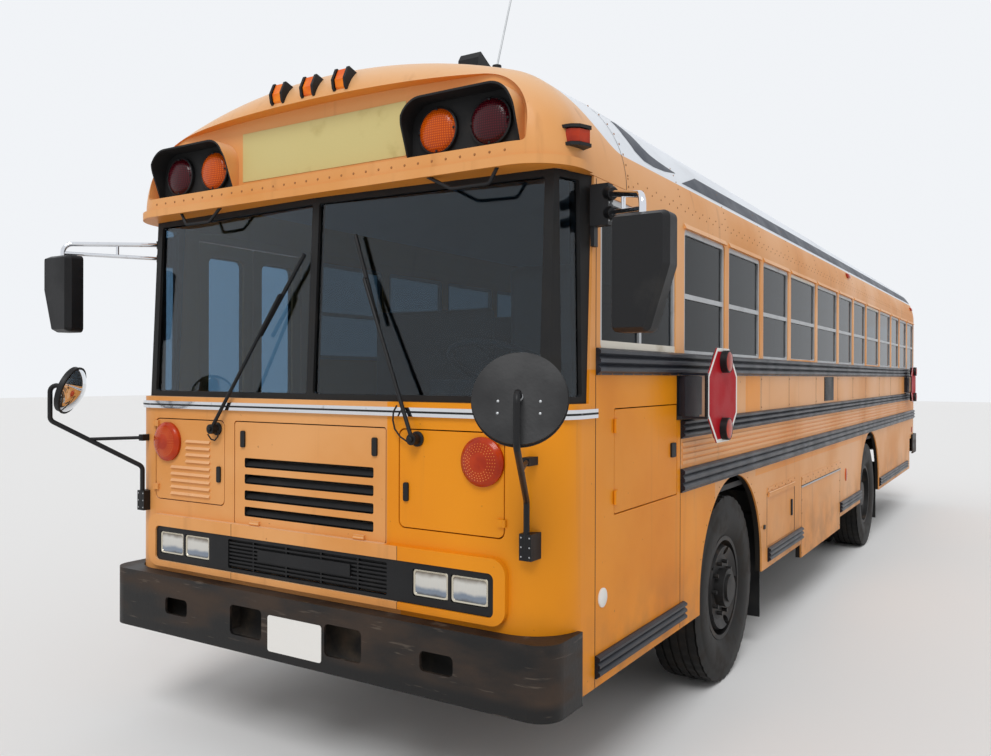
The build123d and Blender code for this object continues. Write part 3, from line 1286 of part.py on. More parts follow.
def rear_wheel():
    axle = FRONT_AXLE + WHEELBASE
    outer = DUAL_OUTER_X
    inner = DUAL_OUTER_X - DUAL_PITCH
    seat = (outer + inner) / 2
    wheel = turned(disc_wheel(outer, seat - outer + 18), axle)
    wheel += mirror(turned(disc_wheel(outer, seat - outer + 18), axle), about=Plane.YZ.offset(seat))
    wheel += disc_along("X", (at(axle), TYRE_RADIUS), 178, seat - 8, seat + 24)
    hub = disc_along("X", (at(axle), TYRE_RADIUS), HUB_RADIUS + 12, seat, outer + 92)
    wheel += hub
    wheel -= disc_along("X", (at(axle), TYRE_RADIUS), AXLE_STUB + SEAT_GAP, inner - 200, outer + 70)
    for hole in ring_of(bar_x(axle, inner - 60, outer + 60, 24), 5, 205):
        wheel -= hole
    for stud in ring_of(bar_x(axle, seat - 4, seat + 60, STUD_RADIUS), STUD_COUNT, STUD_CIRCLE):
        wheel += stud
    return wheel


def knuckle():
    """Upper and lower ears round the kingpin and the spindle that the front wheel turns on."""
    y = at(FRONT_AXLE)
    x = KINGPIN_X
    z = TYRE_RADIUS
    body = block((x + 50, x + 82), (y - 70, y + 70), (z - 120, z + 120))
    for low in (z - 118, z + 54):
        ear = Pos(x, y, low + 32) * Cylinder(42, 64) + block((x, x + 60), (y - 42, y + 42), (low, low + 64))
        body += ear
    body -= Pos(x, y, z) * Cylinder(KINGPIN_RADIUS + SEAT_GAP, 300)
    body += disc_along("X", (y, z), 150, x + 60, x + 78)
    body += disc_along("X", (y, z), SPINDLE_RADIUS, x + 70, FRONT_TRACK_HALF + 95)
    return body


# Entry door leaves

def entry_pin(front):
    return (-BODY_HALF - PIN_OUT, at(ENTRY[0]) + 2 if front else at(ENTRY[1]) - 2)


def leaf_span(front):
    middle = (at(ENTRY[0]) + at(ENTRY[1])) / 2
    if front:
        return (at(ENTRY[0]) + GAP, middle - GAP / 2)
    return (middle + GAP / 2, at(ENTRY[1]) - GAP)


def leaf_lights(front):
    span = grown(leaf_span(front), -62)
    return [panel(span, limits, 40) for limits in LEAF_LIGHTS]


def entry_leaf(front):
    x = (-BODY_HALF + 2, -BODY_HALF + 2 + LEAF)
    span = leaf_span(front)
    leaf = along_x(panel(span, (ENTRY_LOW_Z, ENTRY_TOP_Z - GAP), 8), *x)
    for light in leaf_lights(front):
        leaf -= along_x(light, x[0] - 5, x[1] + 5)
    pin_x, pin_y = entry_pin(front)
    for z in (760, 1480, 2200):
        strap = block((pin_x - 4, x[0] + 1), sorted((pin_y, pin_y + (50 if front else -50))), (z - 40, z + 40))
        leaf += strap + Pos(pin_x, pin_y, z) * Cylinder(BARREL_RADIUS, 80)
    return leaf


def entry_glass(front):
    x = -BODY_HALF + 2 + LEAF / 2
    return [along_x(light, x - GLASS / 2, x + GLASS / 2) for light in leaf_lights(front)]


# Stop arms

def octagon(size):
    return RegularPolygon(radius=size / 2 / math.cos(math.radians(22.5)), side_count=8, rotation=22.5)


def stop_pins():
    """Each stop arm's hinge as its station and its X."""
    return [(station, BODY_HALF + out) for station, out in STOP_ARMS]


def stop_sign(station, pin_x):
    """A folded arm: a plate with eight sides that lies behind its hinge, lamps on both faces."""
    y = at(station)
    centre = (y + STOP_SIZE / 2 + 14, STOP_Z)
    x = (pin_x - STOP_PLATE / 2, pin_x + STOP_PLATE / 2)
    plate = along_x(Pos(*centre) * octagon(STOP_SIZE), *x)
    for side in (-1, 1):
        lamp = (centre[0], centre[1] + side * (STOP_SIZE / 2 - STOP_LAMP_RADIUS - 14))
        plate += disc_along("X", lamp, STOP_LAMP_RADIUS, pin_x - STOP_LAMP_DEEP, pin_x + STOP_LAMP_DEEP)
    plate += block(x, (y, y + 30), (STOP_Z - STOP_EAR + GAP, STOP_Z + STOP_EAR - GAP))
    return plate + Pos(pin_x, y, STOP_Z) * Cylinder(8, 2 * (STOP_EAR - SEAT_GAP))


def stop_box(station, pin_x):
    """The arm's motor box on the wall, with the two ears that hold the hinge pin."""
    y = at(station)
    face = BODY_HALF + STOP_BOX_OUT
    case = block((BODY_HALF + SEAT_GAP, face), (y, y + STOP_BOX_LONG), STOP_BOX_Z)
    case = fillet(case.edges().filter_by(Axis.X), 8)
    case += block((face - 14, face), (y - 8, y + 20), (STOP_Z - STOP_EAR, STOP_BOX_Z[1]))
    for z in (STOP_Z - STOP_EAR - 10, STOP_Z + STOP_EAR):
        case += block((face - 14, pin_x + 8), (y - 8, y + 8), (z, z + 10))
    return case


# Cab, floor and seats

def floor():
    """The deck, the step well, the engine cover and the firewall, each a sheet of its own."""
    half = BODY_HALF - WALL - SEAT_GAP
    return [floor_deck(half), step_well(half), engine_cover(), firewall(half)]


def well_span():
    return grown((at(ENTRY[0]), at(ENTRY[1])), -5)


def floor_deck(half):
    """The deck on its cross beams, open over the engine and the steps, with the aisle's runner."""
    under = FLOOR_Z - FLOOR_THICK
    deck = block((-half, half), (at(FIREWALL), at(REAR_SEAM)), (under, FLOOR_Z))
    rear_half = half - REAR_RADIUS
    deck += block((-rear_half, rear_half), (at(REAR_SEAM) - 1, at(REAR_FACE) - WALL - SEAT_GAP), (under, FLOOR_Z))
    deck -= block((-DOGHOUSE_HALF, DOGHOUSE_HALF), (at(FIREWALL) - 1, at(DOGHOUSE_REAR)), (0, 2000))
    deck -= block((-half - 1, -FRAME_HALF - GAP), well_span(), (0, 2000))
    runner_z = (FLOOR_Z - 1, FLOOR_Z + RUNNER_HIGH)
    deck += block((-RUNNER_HALF, RUNNER_HALF), (at(RUNNER_FRONT), at(REAR_SEAM)), runner_z)
    beam_z = (FRAME_LOW_Z + FRAME_HIGH + SEAT_GAP, under + 1)
    station = GEARBOX[1] + 60
    while station < REAR_SEAM - 200:
        deck += block((-half, half), (at(station), at(station) + FLOOR_BEAM), beam_z)
        station += FLOOR_BEAM_PITCH
    return deck


def step_well(half):
    """Treads and risers from the sill of the entry up to the deck, between two end plates."""
    inner = -FRAME_HALF - GAP - SEAT_GAP
    low = ENTRY_LOW_Z + STEP_PLATE
    rise = (FLOOR_Z - low) / STEP_COUNT
    run = (half + inner) / STEP_COUNT
    well = well_span()
    ends = [(well[0] - 10, well[0] + 1), (well[1] - 1, well[1] + 10)]
    plates = [block((-half, inner), end, (ENTRY_LOW_Z, FLOOR_Z - FLOOR_THICK - SEAT_GAP)) for end in ends]
    steps = plates[0] + plates[1]
    for count in range(STEP_COUNT):
        top = low + count * rise
        x0 = -half + count * run
        steps += block((x0, x0 + run), grown(well, -SEAT_GAP), (top - STEP_PLATE, top))
        steps += block((x0 + run - STEP_PLATE, x0 + run), grown(well, -SEAT_GAP), (top - STEP_PLATE, top + rise))
    return steps


def engine_cover():
    """The box over the engine beside the driver, open below and to the front."""
    outer = DOGHOUSE_HALF + COVER_THICK
    y = (at(FIREWALL) + FIREWALL_THICK + SEAT_GAP, at(DOGHOUSE_REAR) + COVER_THICK)
    cover = block((-outer, outer), y, (FLOOR_Z + SEAT_GAP, DOGHOUSE_Z))
    room = block((-DOGHOUSE_HALF, DOGHOUSE_HALF), (y[0] - 1, y[1] - COVER_THICK), (0, DOGHOUSE_Z - COVER_THICK))
    return cover - room


def firewall(half):
    y = (at(FIREWALL), at(FIREWALL) + FIREWALL_THICK)
    wall = block((-half, half), y, (FLOOR_Z + SEAT_GAP, DASH_Z - DASH_THICK - SEAT_GAP))
    return wall - block((-DOGHOUSE_HALF, DOGHOUSE_HALF), grown(y, 1), (0, DOGHOUSE_Z - COVER_THICK))


def dashboard():
    """Dash shelf under the windshield with the binnacle, column and wheel at the driver's place."""
    front = at(SHIELD_MIDDLE) + 104
    back = at(FIREWALL) + FIREWALL_THICK + SEAT_GAP
    under = DASH_Z - DASH_THICK
    low = DASH_Z - 80
    top = area((front, under), (front, DASH_Z), (at(-900), DASH_Z), (at(-840), DASH_Z - 60), (at(-860), low),
               (back, low), (back, under))
    shelf = along_x(top, -SHIELD_CORNER[0] + 70, SHIELD_CORNER[0] - 70)
    cluster = area((at(-960), DASH_Z - 4), (at(-940), DASH_Z + 90), (at(-890), DASH_Z + 90), (at(-860), DASH_Z - 40))
    shelf += along_x(cluster, DRIVER_X - 230, DRIVER_X + 230)
    station, z = WHEEL_PLACE
    rim_plane = Plane(origin=(DRIVER_X, at(station), z), z_dir=(0, 0.42, 0.91))
    rim = rim_plane * Torus(WHEEL_RADIUS, 14)
    hub = rim_plane * Cylinder(48, 34)
    spokes = rim_plane * Box(2 * WHEEL_RADIUS - 16, 26, 12)
    column = rod([(DRIVER_X, at(station) - 8, z - 10), (DRIVER_X, at(-900), DASH_Z - 60)], 28, 10)
    return shelf + rim + hub + spokes + column


def seat_rows():
    """Station of each row's back cushion at its rear face."""
    return [SEAT_FIRST + row * SEAT_PITCH for row in range(SEAT_ROWS)]


def seats():
    x1 = BODY_HALF - WALL - 14
    cushions = []
    for station in seat_rows():
        y1 = at(station) - BACK_THICK - SEAT_GAP
        cushion = block((x1 - SEAT_WIDE, x1), (y1 - SEAT_DEEP, y1), (FLOOR_Z + CUSHION_TOP - CUSHION_HIGH, FLOOR_Z + CUSHION_TOP))
        cushions.append(cushion)
        back_z = (FLOOR_Z + BACK_LOW, FLOOR_Z + BACK_TOP)
        cushions.append(block((x1 - SEAT_WIDE, x1), (at(station) - BACK_THICK, at(station)), back_z))
    return both_sides(cushions) + [driver_seat()]


def seat_frames():
    x1 = BODY_HALF - WALL - 14
    x0 = x1 - SEAT_WIDE
    frames = []
    for station in seat_rows():
        y1 = at(station) - BACK_THICK - SEAT_GAP
        low = FLOOR_Z + CUSHION_TOP - CUSHION_HIGH - 0.3
        tray = block((x0 + 30, x1), (y1 - SEAT_DEEP + 30, y1 + 40), (low - 26, low))
        for y in (y1 - SEAT_DEEP + 40, y1 - 10):
            tray += block((x0 + 120, x0 + 150), (y, y + 30), (FLOOR_Z + 0.3, low - 20))
        tray += block((x1 - 20, x1 + 13), (y1 - SEAT_DEEP + 40, y1 + 30), (low - 40, low - 10))
        frames.append(tray)
    return both_sides(frames) + [driver_pedestal()]


def driver_seat():
    x = (DRIVER_X - 240, DRIVER_X + 240)
    y1 = at(DRIVER_STATION)
    seat = block(x, (y1 - 470, y1), (FLOOR_Z + 400, FLOOR_Z + 520))
    back = block(x, (y1 - 10, y1 + 100), (FLOOR_Z + 440, FLOOR_Z + 1150))
    return fillet((seat + back).edges().filter_by(Axis.X), 18)


def driver_pedestal():
    y1 = at(DRIVER_STATION)
    return block((DRIVER_X - 150, DRIVER_X + 150), (y1 - 400, y1 - 60), (FLOOR_Z + 0.3, FLOOR_Z + 399.7))


def antenna():
    x, station = ANTENNA
    foot = Pos(x, at(station), ANTENNA_FOOT_Z - 45) * Cylinder(20, 90) - cap_form(-SEAT_GAP)
    tip = (x + ANTENNA_LEAN[0], at(station) + ANTENNA_LEAN[1], ANTENNA_TOP_Z)
    return foot + rod([(x, at(station), ANTENNA_FOOT_Z - 5), tip], 4, 10)


def cap_vent():
    y = (at(CAP_VENT[0]) + 1, at(CAP_VENT[1]))
    hood = area((y[0], CROWN_Z - 100), (y[0], CAP_VENT_Z - 30), (y[0] + 20, CAP_VENT_Z), (y[1], CAP_VENT_Z - 50),
                (y[1], CROWN_Z - 100))
    return along_x(hood, *CAP_VENT_X) - along_y(body_section(-SEAT_GAP, 2000), y[0] - 10, y[1] + 10)


def grab_handle(feet_x, grip_x, far_grip_x, far_feet_x):
    """A bent bar under the brow, from one foot down to the grip and back up."""
    y = at(HANDLE_STATION)
    top = CAP_BASE_Z + 10
    low = CAP_BASE_Z - HANDLE_DROP
    bar = rod([(feet_x, y, top), (grip_x, y, low), (far_grip_x, y, low), (far_feet_x, y, top)], HANDLE_RADIUS, 18)
    return bar - block(grown((feet_x, far_feet_x), 50), grown((y, y), 50), (CAP_BASE_Z - SEAT_GAP, CAP_BASE_Z + 50))


def cap_fittings():
    guards = [guard for plane in marker_planes() for guard in marker_guards(plane)]
    return [antenna(), cap_vent()] + [grab_handle(*handle) for handle in HANDLES] + guards


def tyre_front():
    return turned(tyre_profile(TYRE_WIDE, FRONT_TRACK_HALF), FRONT_AXLE)


def tyres_rear():
    profiles = [tyre_profile(TYRE_WIDE, x) for x in (DUAL_OUTER_X, DUAL_OUTER_X - DUAL_PITCH)]
    return [turned(profile, FRONT_AXLE + WHEELBASE) for profile in profiles]


NODES = [
    # name, then what makes its solids
    ("chassis_frame", lambda: [chassis_frame()]),
    ("axles", lambda: [front_axle(), rear_axle()]),
    ("engine", engine),
    ("fuel_tank", lambda: [fuel_tank()]),
    ("exhaust", lambda: [exhaust()]),
    ("battery_box", battery_box),
    ("floor", floor),
    ("left_wall", lambda: side_wall(1)),
    ("right_wall", lambda: side_wall(-1)),
    ("roof", lambda: [roof()]),
    ("roof_hatch", lambda: [roof_hatch()]),
    ("front_cap", lambda: [front_cap()]),
    ("front_fascia", lambda: [front_fascia()]),
    ("engine_panel", lambda: [engine_panel()]),
    ("front_door_left", lambda: [access_door(1)]),
    ("front_door_right", lambda: [access_door(-1)]),
    ("side_access_door", lambda: [side_access_door()]),
    ("battery_door", lambda: [battery_door()]),
    ("rear_wall", lambda: [rear_wall()]),
    ("windshield_frame", lambda: [windshield_frame()]),
    ("window_sashes", window_sashes),
    ("glass", lambda: windshield() + window_glass() + rear_glass()),
    ("rub_rails", rub_rails),
    ("trim_strip", lambda: [trim_strip()]),
    ("grille", lambda: [grille()]),
    ("headlamps", headlamps),
    ("warning_hoods", lambda: both_sides([warning_hood()])),
    ("amber_lamps", amber_lamps),
    ("red_lamps", red_lamps),
    ("bumpers", lambda: [front_bumper(), rear_bumper()]),
    ("mirror_arms", mirror_arms),
    ("mirror_heads", mirror_heads),
    ("wiper_left", lambda: [wiper(*WIPERS[0])]),
    ("wiper_right", lambda: [wiper(*WIPERS[1])]),
    ("turn_lamp_left", lambda: [turn_lamp()]),
    ("turn_lamp_right", lambda: [mirrored(turn_lamp())]),
    ("mud_flaps", mud_flaps),
    ("cap_fittings", cap_fittings),
    ("stop_boxes", lambda: [stop_box(*pin) for pin in stop_pins()]),
    ("dashboard", lambda: [dashboard()]),
    ("seats", seats),
    ("seat_frames", seat_frames),
    ("tyre_front_left", lambda: [tyre_front()]),
    ("tyre_front_right", lambda: [mirrored(tyre_front())]),
    ("tyres_rear_left", tyres_rear),
    ("tyres_rear_right", lambda: [mirrored(tyre) for tyre in tyres_rear()]),
    ("wheel_front_left", lambda: [front_wheel()]),
    ("wheel_front_right", lambda: [mirrored(front_wheel())]),
    ("wheels_rear_left", lambda: [rear_wheel()]),
    ("wheels_rear_right", lambda: [mirrored(rear_wheel())]),
    ("knuckle_left", lambda: [knuckle()]),
    ("knuckle_right", lambda: [mirrored(knuckle())]),
    ("entry_leaf_front", lambda: [entry_leaf(True)]),
    ("entry_leaf_rear", lambda: [entry_leaf(False)]),
    ("entry_glass_front", lambda: entry_glass(True)),
    ("entry_glass_rear", lambda: entry_glass(False)),
    ("rear_door", lambda: [rear_door()]),
    ("rear_door_glass", rear_door_glass),
    ("stop_sign_front", lambda: [stop_sign(*stop_pins()[0])]),
    ("stop_sign_rear", lambda: [stop_sign(*stop_pins()[1])]),
]


def build():
    os.makedirs("parts", exist_ok=True)
    boxes = []
    for name, make in NODES:
        boxes.append(save(name, make()).bounding_box())
    low = [min(getattr(box.min, axis) for box in boxes) for axis in ("X", "Y", "Z")]
    high = [max(getattr(box.max, axis) for box in boxes) for axis in ("X", "Y", "Z")]
    print("low", [round(value, 1) for value in low])
    print("high", [round(value, 1) for value in high])


if __name__ == "__main__":
    build()
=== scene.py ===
import math

import bmesh
import bpy
from mathutils import Matrix, Vector


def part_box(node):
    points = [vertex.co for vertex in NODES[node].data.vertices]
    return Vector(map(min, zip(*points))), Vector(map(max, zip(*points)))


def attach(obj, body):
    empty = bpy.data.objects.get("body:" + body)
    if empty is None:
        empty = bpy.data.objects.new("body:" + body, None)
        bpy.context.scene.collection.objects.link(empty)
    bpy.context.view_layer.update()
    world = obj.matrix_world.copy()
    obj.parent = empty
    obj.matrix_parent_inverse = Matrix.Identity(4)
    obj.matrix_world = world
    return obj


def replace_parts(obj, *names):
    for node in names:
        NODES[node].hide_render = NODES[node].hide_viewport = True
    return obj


# Looks of a flat-nosed school bus, in metres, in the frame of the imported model: plus X is the
# driver's side, minus Y is forwards, plus Z is up.  A station is a distance behind the front post
# of the side windows.

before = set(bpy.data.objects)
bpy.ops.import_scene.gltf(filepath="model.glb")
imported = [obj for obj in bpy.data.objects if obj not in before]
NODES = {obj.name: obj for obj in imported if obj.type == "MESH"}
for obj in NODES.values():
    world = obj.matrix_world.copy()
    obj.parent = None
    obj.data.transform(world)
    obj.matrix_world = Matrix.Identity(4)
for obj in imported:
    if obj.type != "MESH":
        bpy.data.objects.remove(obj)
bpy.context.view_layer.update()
SIDES = (-1, 1)
ENDS = ("front", "rear")

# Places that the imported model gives
FRONT_AXLE = 0.855
REAR_AXLE = 5.445
TYRE_LOW, TYRE_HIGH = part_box("tyre_front_left")
TYRE_RADIUS = (TYRE_HIGH.z - TYRE_LOW.z) / 2
TYRE_WIDE = TYRE_HIGH.x - TYRE_LOW.x
AXLE_Z = (TYRE_HIGH.z + TYRE_LOW.z) / 2
FIRST_POST_Y = (TYRE_HIGH.y + TYRE_LOW.y) / 2 - FRONT_AXLE
BODY_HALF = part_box("left_wall")[1].x - 0.014
WINDOW_LOW_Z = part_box("window_sashes")[0].z
WINDOW_TOP_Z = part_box("window_sashes")[1].z


def at(station):
    return FIRST_POST_Y + station


def span(stations):
    return [at(station) for station in stations]


# Body shell, as stations, heights and radii
FRONT_Y = at(-1.243)
CORNER_RADIUS = 0.200
FASCIA_REAR = -0.925
CAP_REAR = -0.640
REAR_SEAM = 8.944
REAR_Y = at(9.040)
EAVE_Z = 2.440
EAVE_RADIUS = 0.480
POCKET_DEPTH = 0.078
WINDOW_PITCHES = [0.6985] * 3 + [0.8382] * 2 + [0.6985] * 2 + [0.8382] * 2 + [0.6985] * 3
EXIT_WINDOWS = (3, 7)
RAILS = {
    # name: lowest and highest edge
    "sill": (1.688, 1.792),
    "seat": (1.390, 1.478),
    "floor": (1.135, 1.247),
}

# Gap between a new piece and the face that it lies on
STAND_OFF = 0.0003

# Camera, fitted to the photograph
IMAGE_WIDE = 991
FOCAL_PIXELS = 870.0
CAMERA_AT = (2.6222, -7.6730, 1.6828)
CAMERA_AZIMUTH = 0.5581
CAMERA_PITCH = -0.0023
CAMERA_ROLL = 0.0031


def colour(red, green, blue):
    """A screen colour from 0 to 255 as the linear colour that a shader takes."""
    linear = []
    for value in (red, green, blue):
        value /= 255
        linear.append(value / 12.92 if value <= 0.04045 else ((value + 0.055) / 1.055) ** 2.4)
    return (*linear, 1.0)


# Materials

class Graph:
    """A material's node tree, with short calls for the nodes that the finishes share."""

    def __init__(self, name):
        self.material = bpy.data.materials.new(name)
        self.material.use_nodes = True
        self.tree = self.material.node_tree
        self.shader = self.tree.nodes["Principled BSDF"]
        self.place = self.node("TexCoord").outputs["Object"]

    def node(self, kind, **settings):
        made = self.tree.nodes.new("ShaderNode" + kind)
        for key, value in settings.items():
            setattr(made, key, value)
        return made

    def feed(self, socket, value):
        """Link a socket or set its value: three numbers are a screen colour from 0 to 255."""
        if isinstance(value, bpy.types.NodeSocket):
            self.tree.links.new(value, socket)
        else:
            screen = isinstance(value, tuple) and len(value) == 3
            socket.default_value = colour(*value) if screen else value

    def math(self, operation, *values):
        made = self.node("Math", operation=operation)
        for socket, value in zip(made.inputs, values):
            self.feed(socket, value)
        return made.outputs[0]

    def times(self, first, *others):
        for other in others:
            first = self.math("MULTIPLY", first, other)
        return first

    def highest(self, first, *others):
        for other in others:
            first = self.math("MAXIMUM", first, other)
        return first

    def below(self, value, limit):
        return self.math("LESS_THAN", value, limit)

    def above(self, value, limit):
        return self.math("GREATER_THAN", value, limit)

    def within(self, value, low, high):
        """1 where a value lies between two limits, else 0."""
        return self.times(self.above(value, low), self.below(value, high))

    def axes(self, vector=None):
        made = self.node("SeparateXYZ")
        self.feed(made.inputs[0], vector or self.place)
        return made.outputs

    def ramp(self, value, low, high, start=0.0, end=1.0):
        """A value's run from low to high as a smooth run from start to end."""
        made = self.node("MapRange", interpolation_type="SMOOTHSTEP")
        limits = {"Value": value, "From Min": low, "From Max": high, "To Min": start, "To Max": end}
        for name, limit in limits.items():
            self.feed(made.inputs[name], limit)
        return made.outputs["Result"]

    def noise(self, scale, detail=4.0, stretch=(1.0, 1.0, 1.0)):
        mapping = self.node("Mapping")
        mapping.inputs["Scale"].default_value = stretch
        self.feed(mapping.inputs["Vector"], self.place)
        made = self.node("TexNoise")
        made.inputs["Scale"].default_value = scale
        made.inputs["Detail"].default_value = detail
        self.feed(made.inputs["Vector"], mapping.outputs[0])
        return made.outputs[0]

    def waves(self, direction, scale):
        made = self.node("TexWave", wave_type="BANDS", bands_direction=direction)
        made.inputs["Scale"].default_value = scale
        self.feed(made.inputs["Vector"], self.place)
        return made.outputs["Fac"]

    def mix(self, factor, first, second):
        made = self.node("Mix", data_type="RGBA")
        self.feed(made.inputs[0], factor)
        self.feed(made.inputs[6], first)
        self.feed(made.inputs[7], second)
        return made.outputs[2]

    def over(self, base, shade, mask, strength):
        """A shade laid over a base where a mask says, at a strength from 0 to 1."""
        return self.mix(self.times(mask, strength), base, shade)

    def bump(self, height, strength, distance):
        made = self.node("Bump")
        made.inputs["Strength"].default_value = strength
        made.inputs["Distance"].default_value = distance
        self.feed(made.inputs["Height"], height)
        self.feed(self.shader.inputs["Normal"], made.outputs[0])

    def set(self, **values):
        for name, value in values.items():
            self.feed(self.shader.inputs[name.replace("_", " ")], value)
        return self.material


# Height and slope of the white paint's edge, then the station where it turns up and its rise
WHITE_EDGE = (2.592, 0.006)
WHITE_SWEEP = (-0.62, 1.7)

# Renewed paint: X of its edge on the front, then stations; the deeper orange strip under the floor rail:
# stations and lowest Z
FRESH_EDGE_X = 0.44
FRESH_ARCH = 0.52
FRESH_PATCH = (1.071, 1.375)
RAIL_STRIP = (1.28, 4.90)
RAIL_STRIP_LOW = 1.092

# X of the joints in the front's lower panel, the panel's top, and the undercoat inside the skirts, which also
# lays painted shade on the door edges in their gaps
FASCIA_SEAMS = (-0.427, 0.510)
FASCIA_BAND_TOP = 1.021
UNDERCOAT_AND_SHADE_TOP = 1.16
UNDERCOAT_AND_SHADE_STATIONS = (0.02, 8.52)


def white_edge(graph, y):
    """Height of the lower edge of the white roof paint: level, then swept up over the cap."""
    height, slope = WHITE_EDGE
    start, rise = WHITE_SWEEP
    station = graph.math("SUBTRACT", y, at(0))
    level = graph.math("MULTIPLY_ADD", station, slope, height)
    ahead = graph.highest(graph.math("SUBTRACT", start, station), 0.0)
    return graph.math("ADD", level, graph.times(ahead, ahead, rise))


def renewed_and_shaded_places(graph, x, y, z):
    """Where the deeper orange goes: renewed paint on the driver's corner and a patch, painted shade in the
    grooves between the flutes, and a strip under the floor rail.
    """
    floor, seat, sill = (RAILS[name] for name in ("floor", "seat", "sill"))
    low_down = graph.below(z, FASCIA_BAND_TOP)
    edge = graph.math("MULTIPLY_ADD", low_down, FASCIA_SEAMS[1] - FRESH_EDGE_X, FRESH_EDGE_X)
    corner = graph.times(graph.below(y, at(0)), graph.below(z, sill[0] + 0.02))
    arch = graph.times(graph.below(y, at(FRESH_ARCH)), graph.below(z, floor[0]))
    patch = graph.times(graph.within(y, *span(FRESH_PATCH)), graph.within(z, seat[1], sill[0]))
    left = graph.times(graph.highest(corner, arch, patch), graph.above(x, edge))
    wall = graph.within(graph.math("ABSOLUTE", x), BODY_HALF - 0.002, BODY_HALF + 0.003)
    # Painted shade: the grooves between the flutes take the deeper orange
    grooves = graph.times(graph.within(z, floor[1], seat[0]), wall, graph.above(y, at(0.02)), 0.6)
    # A deeper orange strip just under the floor rail
    band = graph.within(z, RAIL_STRIP_LOW, floor[0] + 0.01)
    band = graph.times(band, graph.within(y, *span(RAIL_STRIP)), 0.8)
    return graph.highest(left, grooves, band)


def fascia_joints(graph, x, y, z):
    """The two upright joints of the front's lower panel."""
    middle = sum(FASCIA_SEAMS) / 2
    reach = graph.math("ABSOLUTE", graph.math("SUBTRACT", x, middle))
    reach = graph.math("SUBTRACT", reach, FASCIA_SEAMS[1] - middle)
    line = graph.below(graph.math("ABSOLUTE", reach), 0.0018)
    return graph.times(line, graph.below(z, FASCIA_BAND_TOP), graph.below(y, FRONT_Y - 0.004))


def coach_paint():
    """Amber bleached by the sun, with renewed patches and the roof in white; painted shade deepens the orange
    on downward faces and in the flutes' grooves, and painted light makes upward faces paler.
    """
    graph = Graph("coach_paint")
    x, y, z = graph.axes()
    level = graph.axes(graph.node("NewGeometry").outputs["Normal"])[2]
    clouds = graph.noise(0.9, 5.0)
    faded_and_lit = graph.mix(graph.ramp(clouds, 0.38, 0.66), (222, 160, 100), (212, 142, 72))
    # Painted light with sun fading: upward faces paler
    faded_and_lit = graph.over(faded_and_lit, (226, 192, 156), graph.ramp(level, 0.15, 0.85), 0.60)
    # Deeper orange of renewed paint, also used as painted shade in the flutes' grooves
    renewed_and_shade_orange = graph.mix(graph.ramp(clouds, 0.4, 0.7), (228, 142, 20), (214, 124, 14))
    base = graph.mix(renewed_and_shaded_places(graph, x, y, z), faded_and_lit, renewed_and_shade_orange)
    streaks = graph.ramp(graph.noise(3.2, 6.0, (4.0, 4.0, 0.22)), 0.58, 0.78)
    grime = graph.times(graph.ramp(z, 0.95, 0.42), graph.ramp(graph.noise(6.0, 6.0), 0.35, 0.7))
    # Near-black undercoat inside the skirts, and painted shade on the door edges in their gaps
    inside = graph.within(graph.math("ABSOLUTE", x), BODY_HALF - 0.045, BODY_HALF - 0.010)
    inside = graph.times(inside, graph.below(z, UNDERCOAT_AND_SHADE_TOP), graph.within(y, *span(UNDERCOAT_AND_SHADE_STATIONS)))
    layers = [
        # colour, where it shows, how strongly
        # painted shade: downward faces a deeper orange
        ((222, 132, 26), graph.ramp(level, -0.25, -0.85), 0.75),
        ((150, 100, 56), streaks, 0.30),
        ((104, 80, 54), grime, 0.40),
        ((108, 66, 36), graph.ramp(graph.noise(42.0, 2.0), 0.74, 0.80), 0.5),
        ((60, 36, 18), fascia_joints(graph, x, y, z), 0.8),
        # undercoat inside the skirts, and painted shade in the door gaps
        ((34, 31, 28), inside, 1.0),
    ]
    for shade, mask, strength in layers:
        base = graph.over(base, shade, mask, strength)
    dust = graph.ramp(graph.noise(2.4, 6.0, (1.0, 0.5, 1.0)), 0.45, 0.75)
    white = graph.over((226, 231, 238), (186, 190, 196), dust, 0.5)
    above = graph.math("SUBTRACT", z, white_edge(graph, y))
    base = graph.mix(graph.ramp(above, -0.002, 0.002), base, white)
    graph.bump(graph.math("MULTIPLY_ADD", graph.noise(180.0, 2.0), 0.02, graph.noise(1.7, 2.0)), 0.25, 0.012)
    return graph.set(Base_Color=base, Roughness=graph.ramp(clouds, 0.3, 0.7, 0.36, 0.52), Coat_Weight=0.05,
                     Coat_Roughness=0.12, Specular_IOR_Level=0.18)


def plain_paint(name, clean, worn, roughness, wear=0.5, metallic=0.0, grain=90.0, shine=0.3):
    """One colour with a second one where it is rubbed or dusty, and a fine grain."""
    graph = Graph(name)
    base = graph.mix(graph.ramp(graph.noise(7.0, 8.0), 0.72 - wear * 0.3, 0.80), clean, worn)
    graph.bump(graph.noise(grain, 3.0), 0.25, 0.0015)
    rough = graph.ramp(graph.noise(5.0, 4.0), 0.3, 0.7, roughness * 0.85, min(1.0, roughness * 1.2))
    return graph.set(Base_Color=base, Roughness=rough, Metallic=metallic, Specular_IOR_Level=shine)


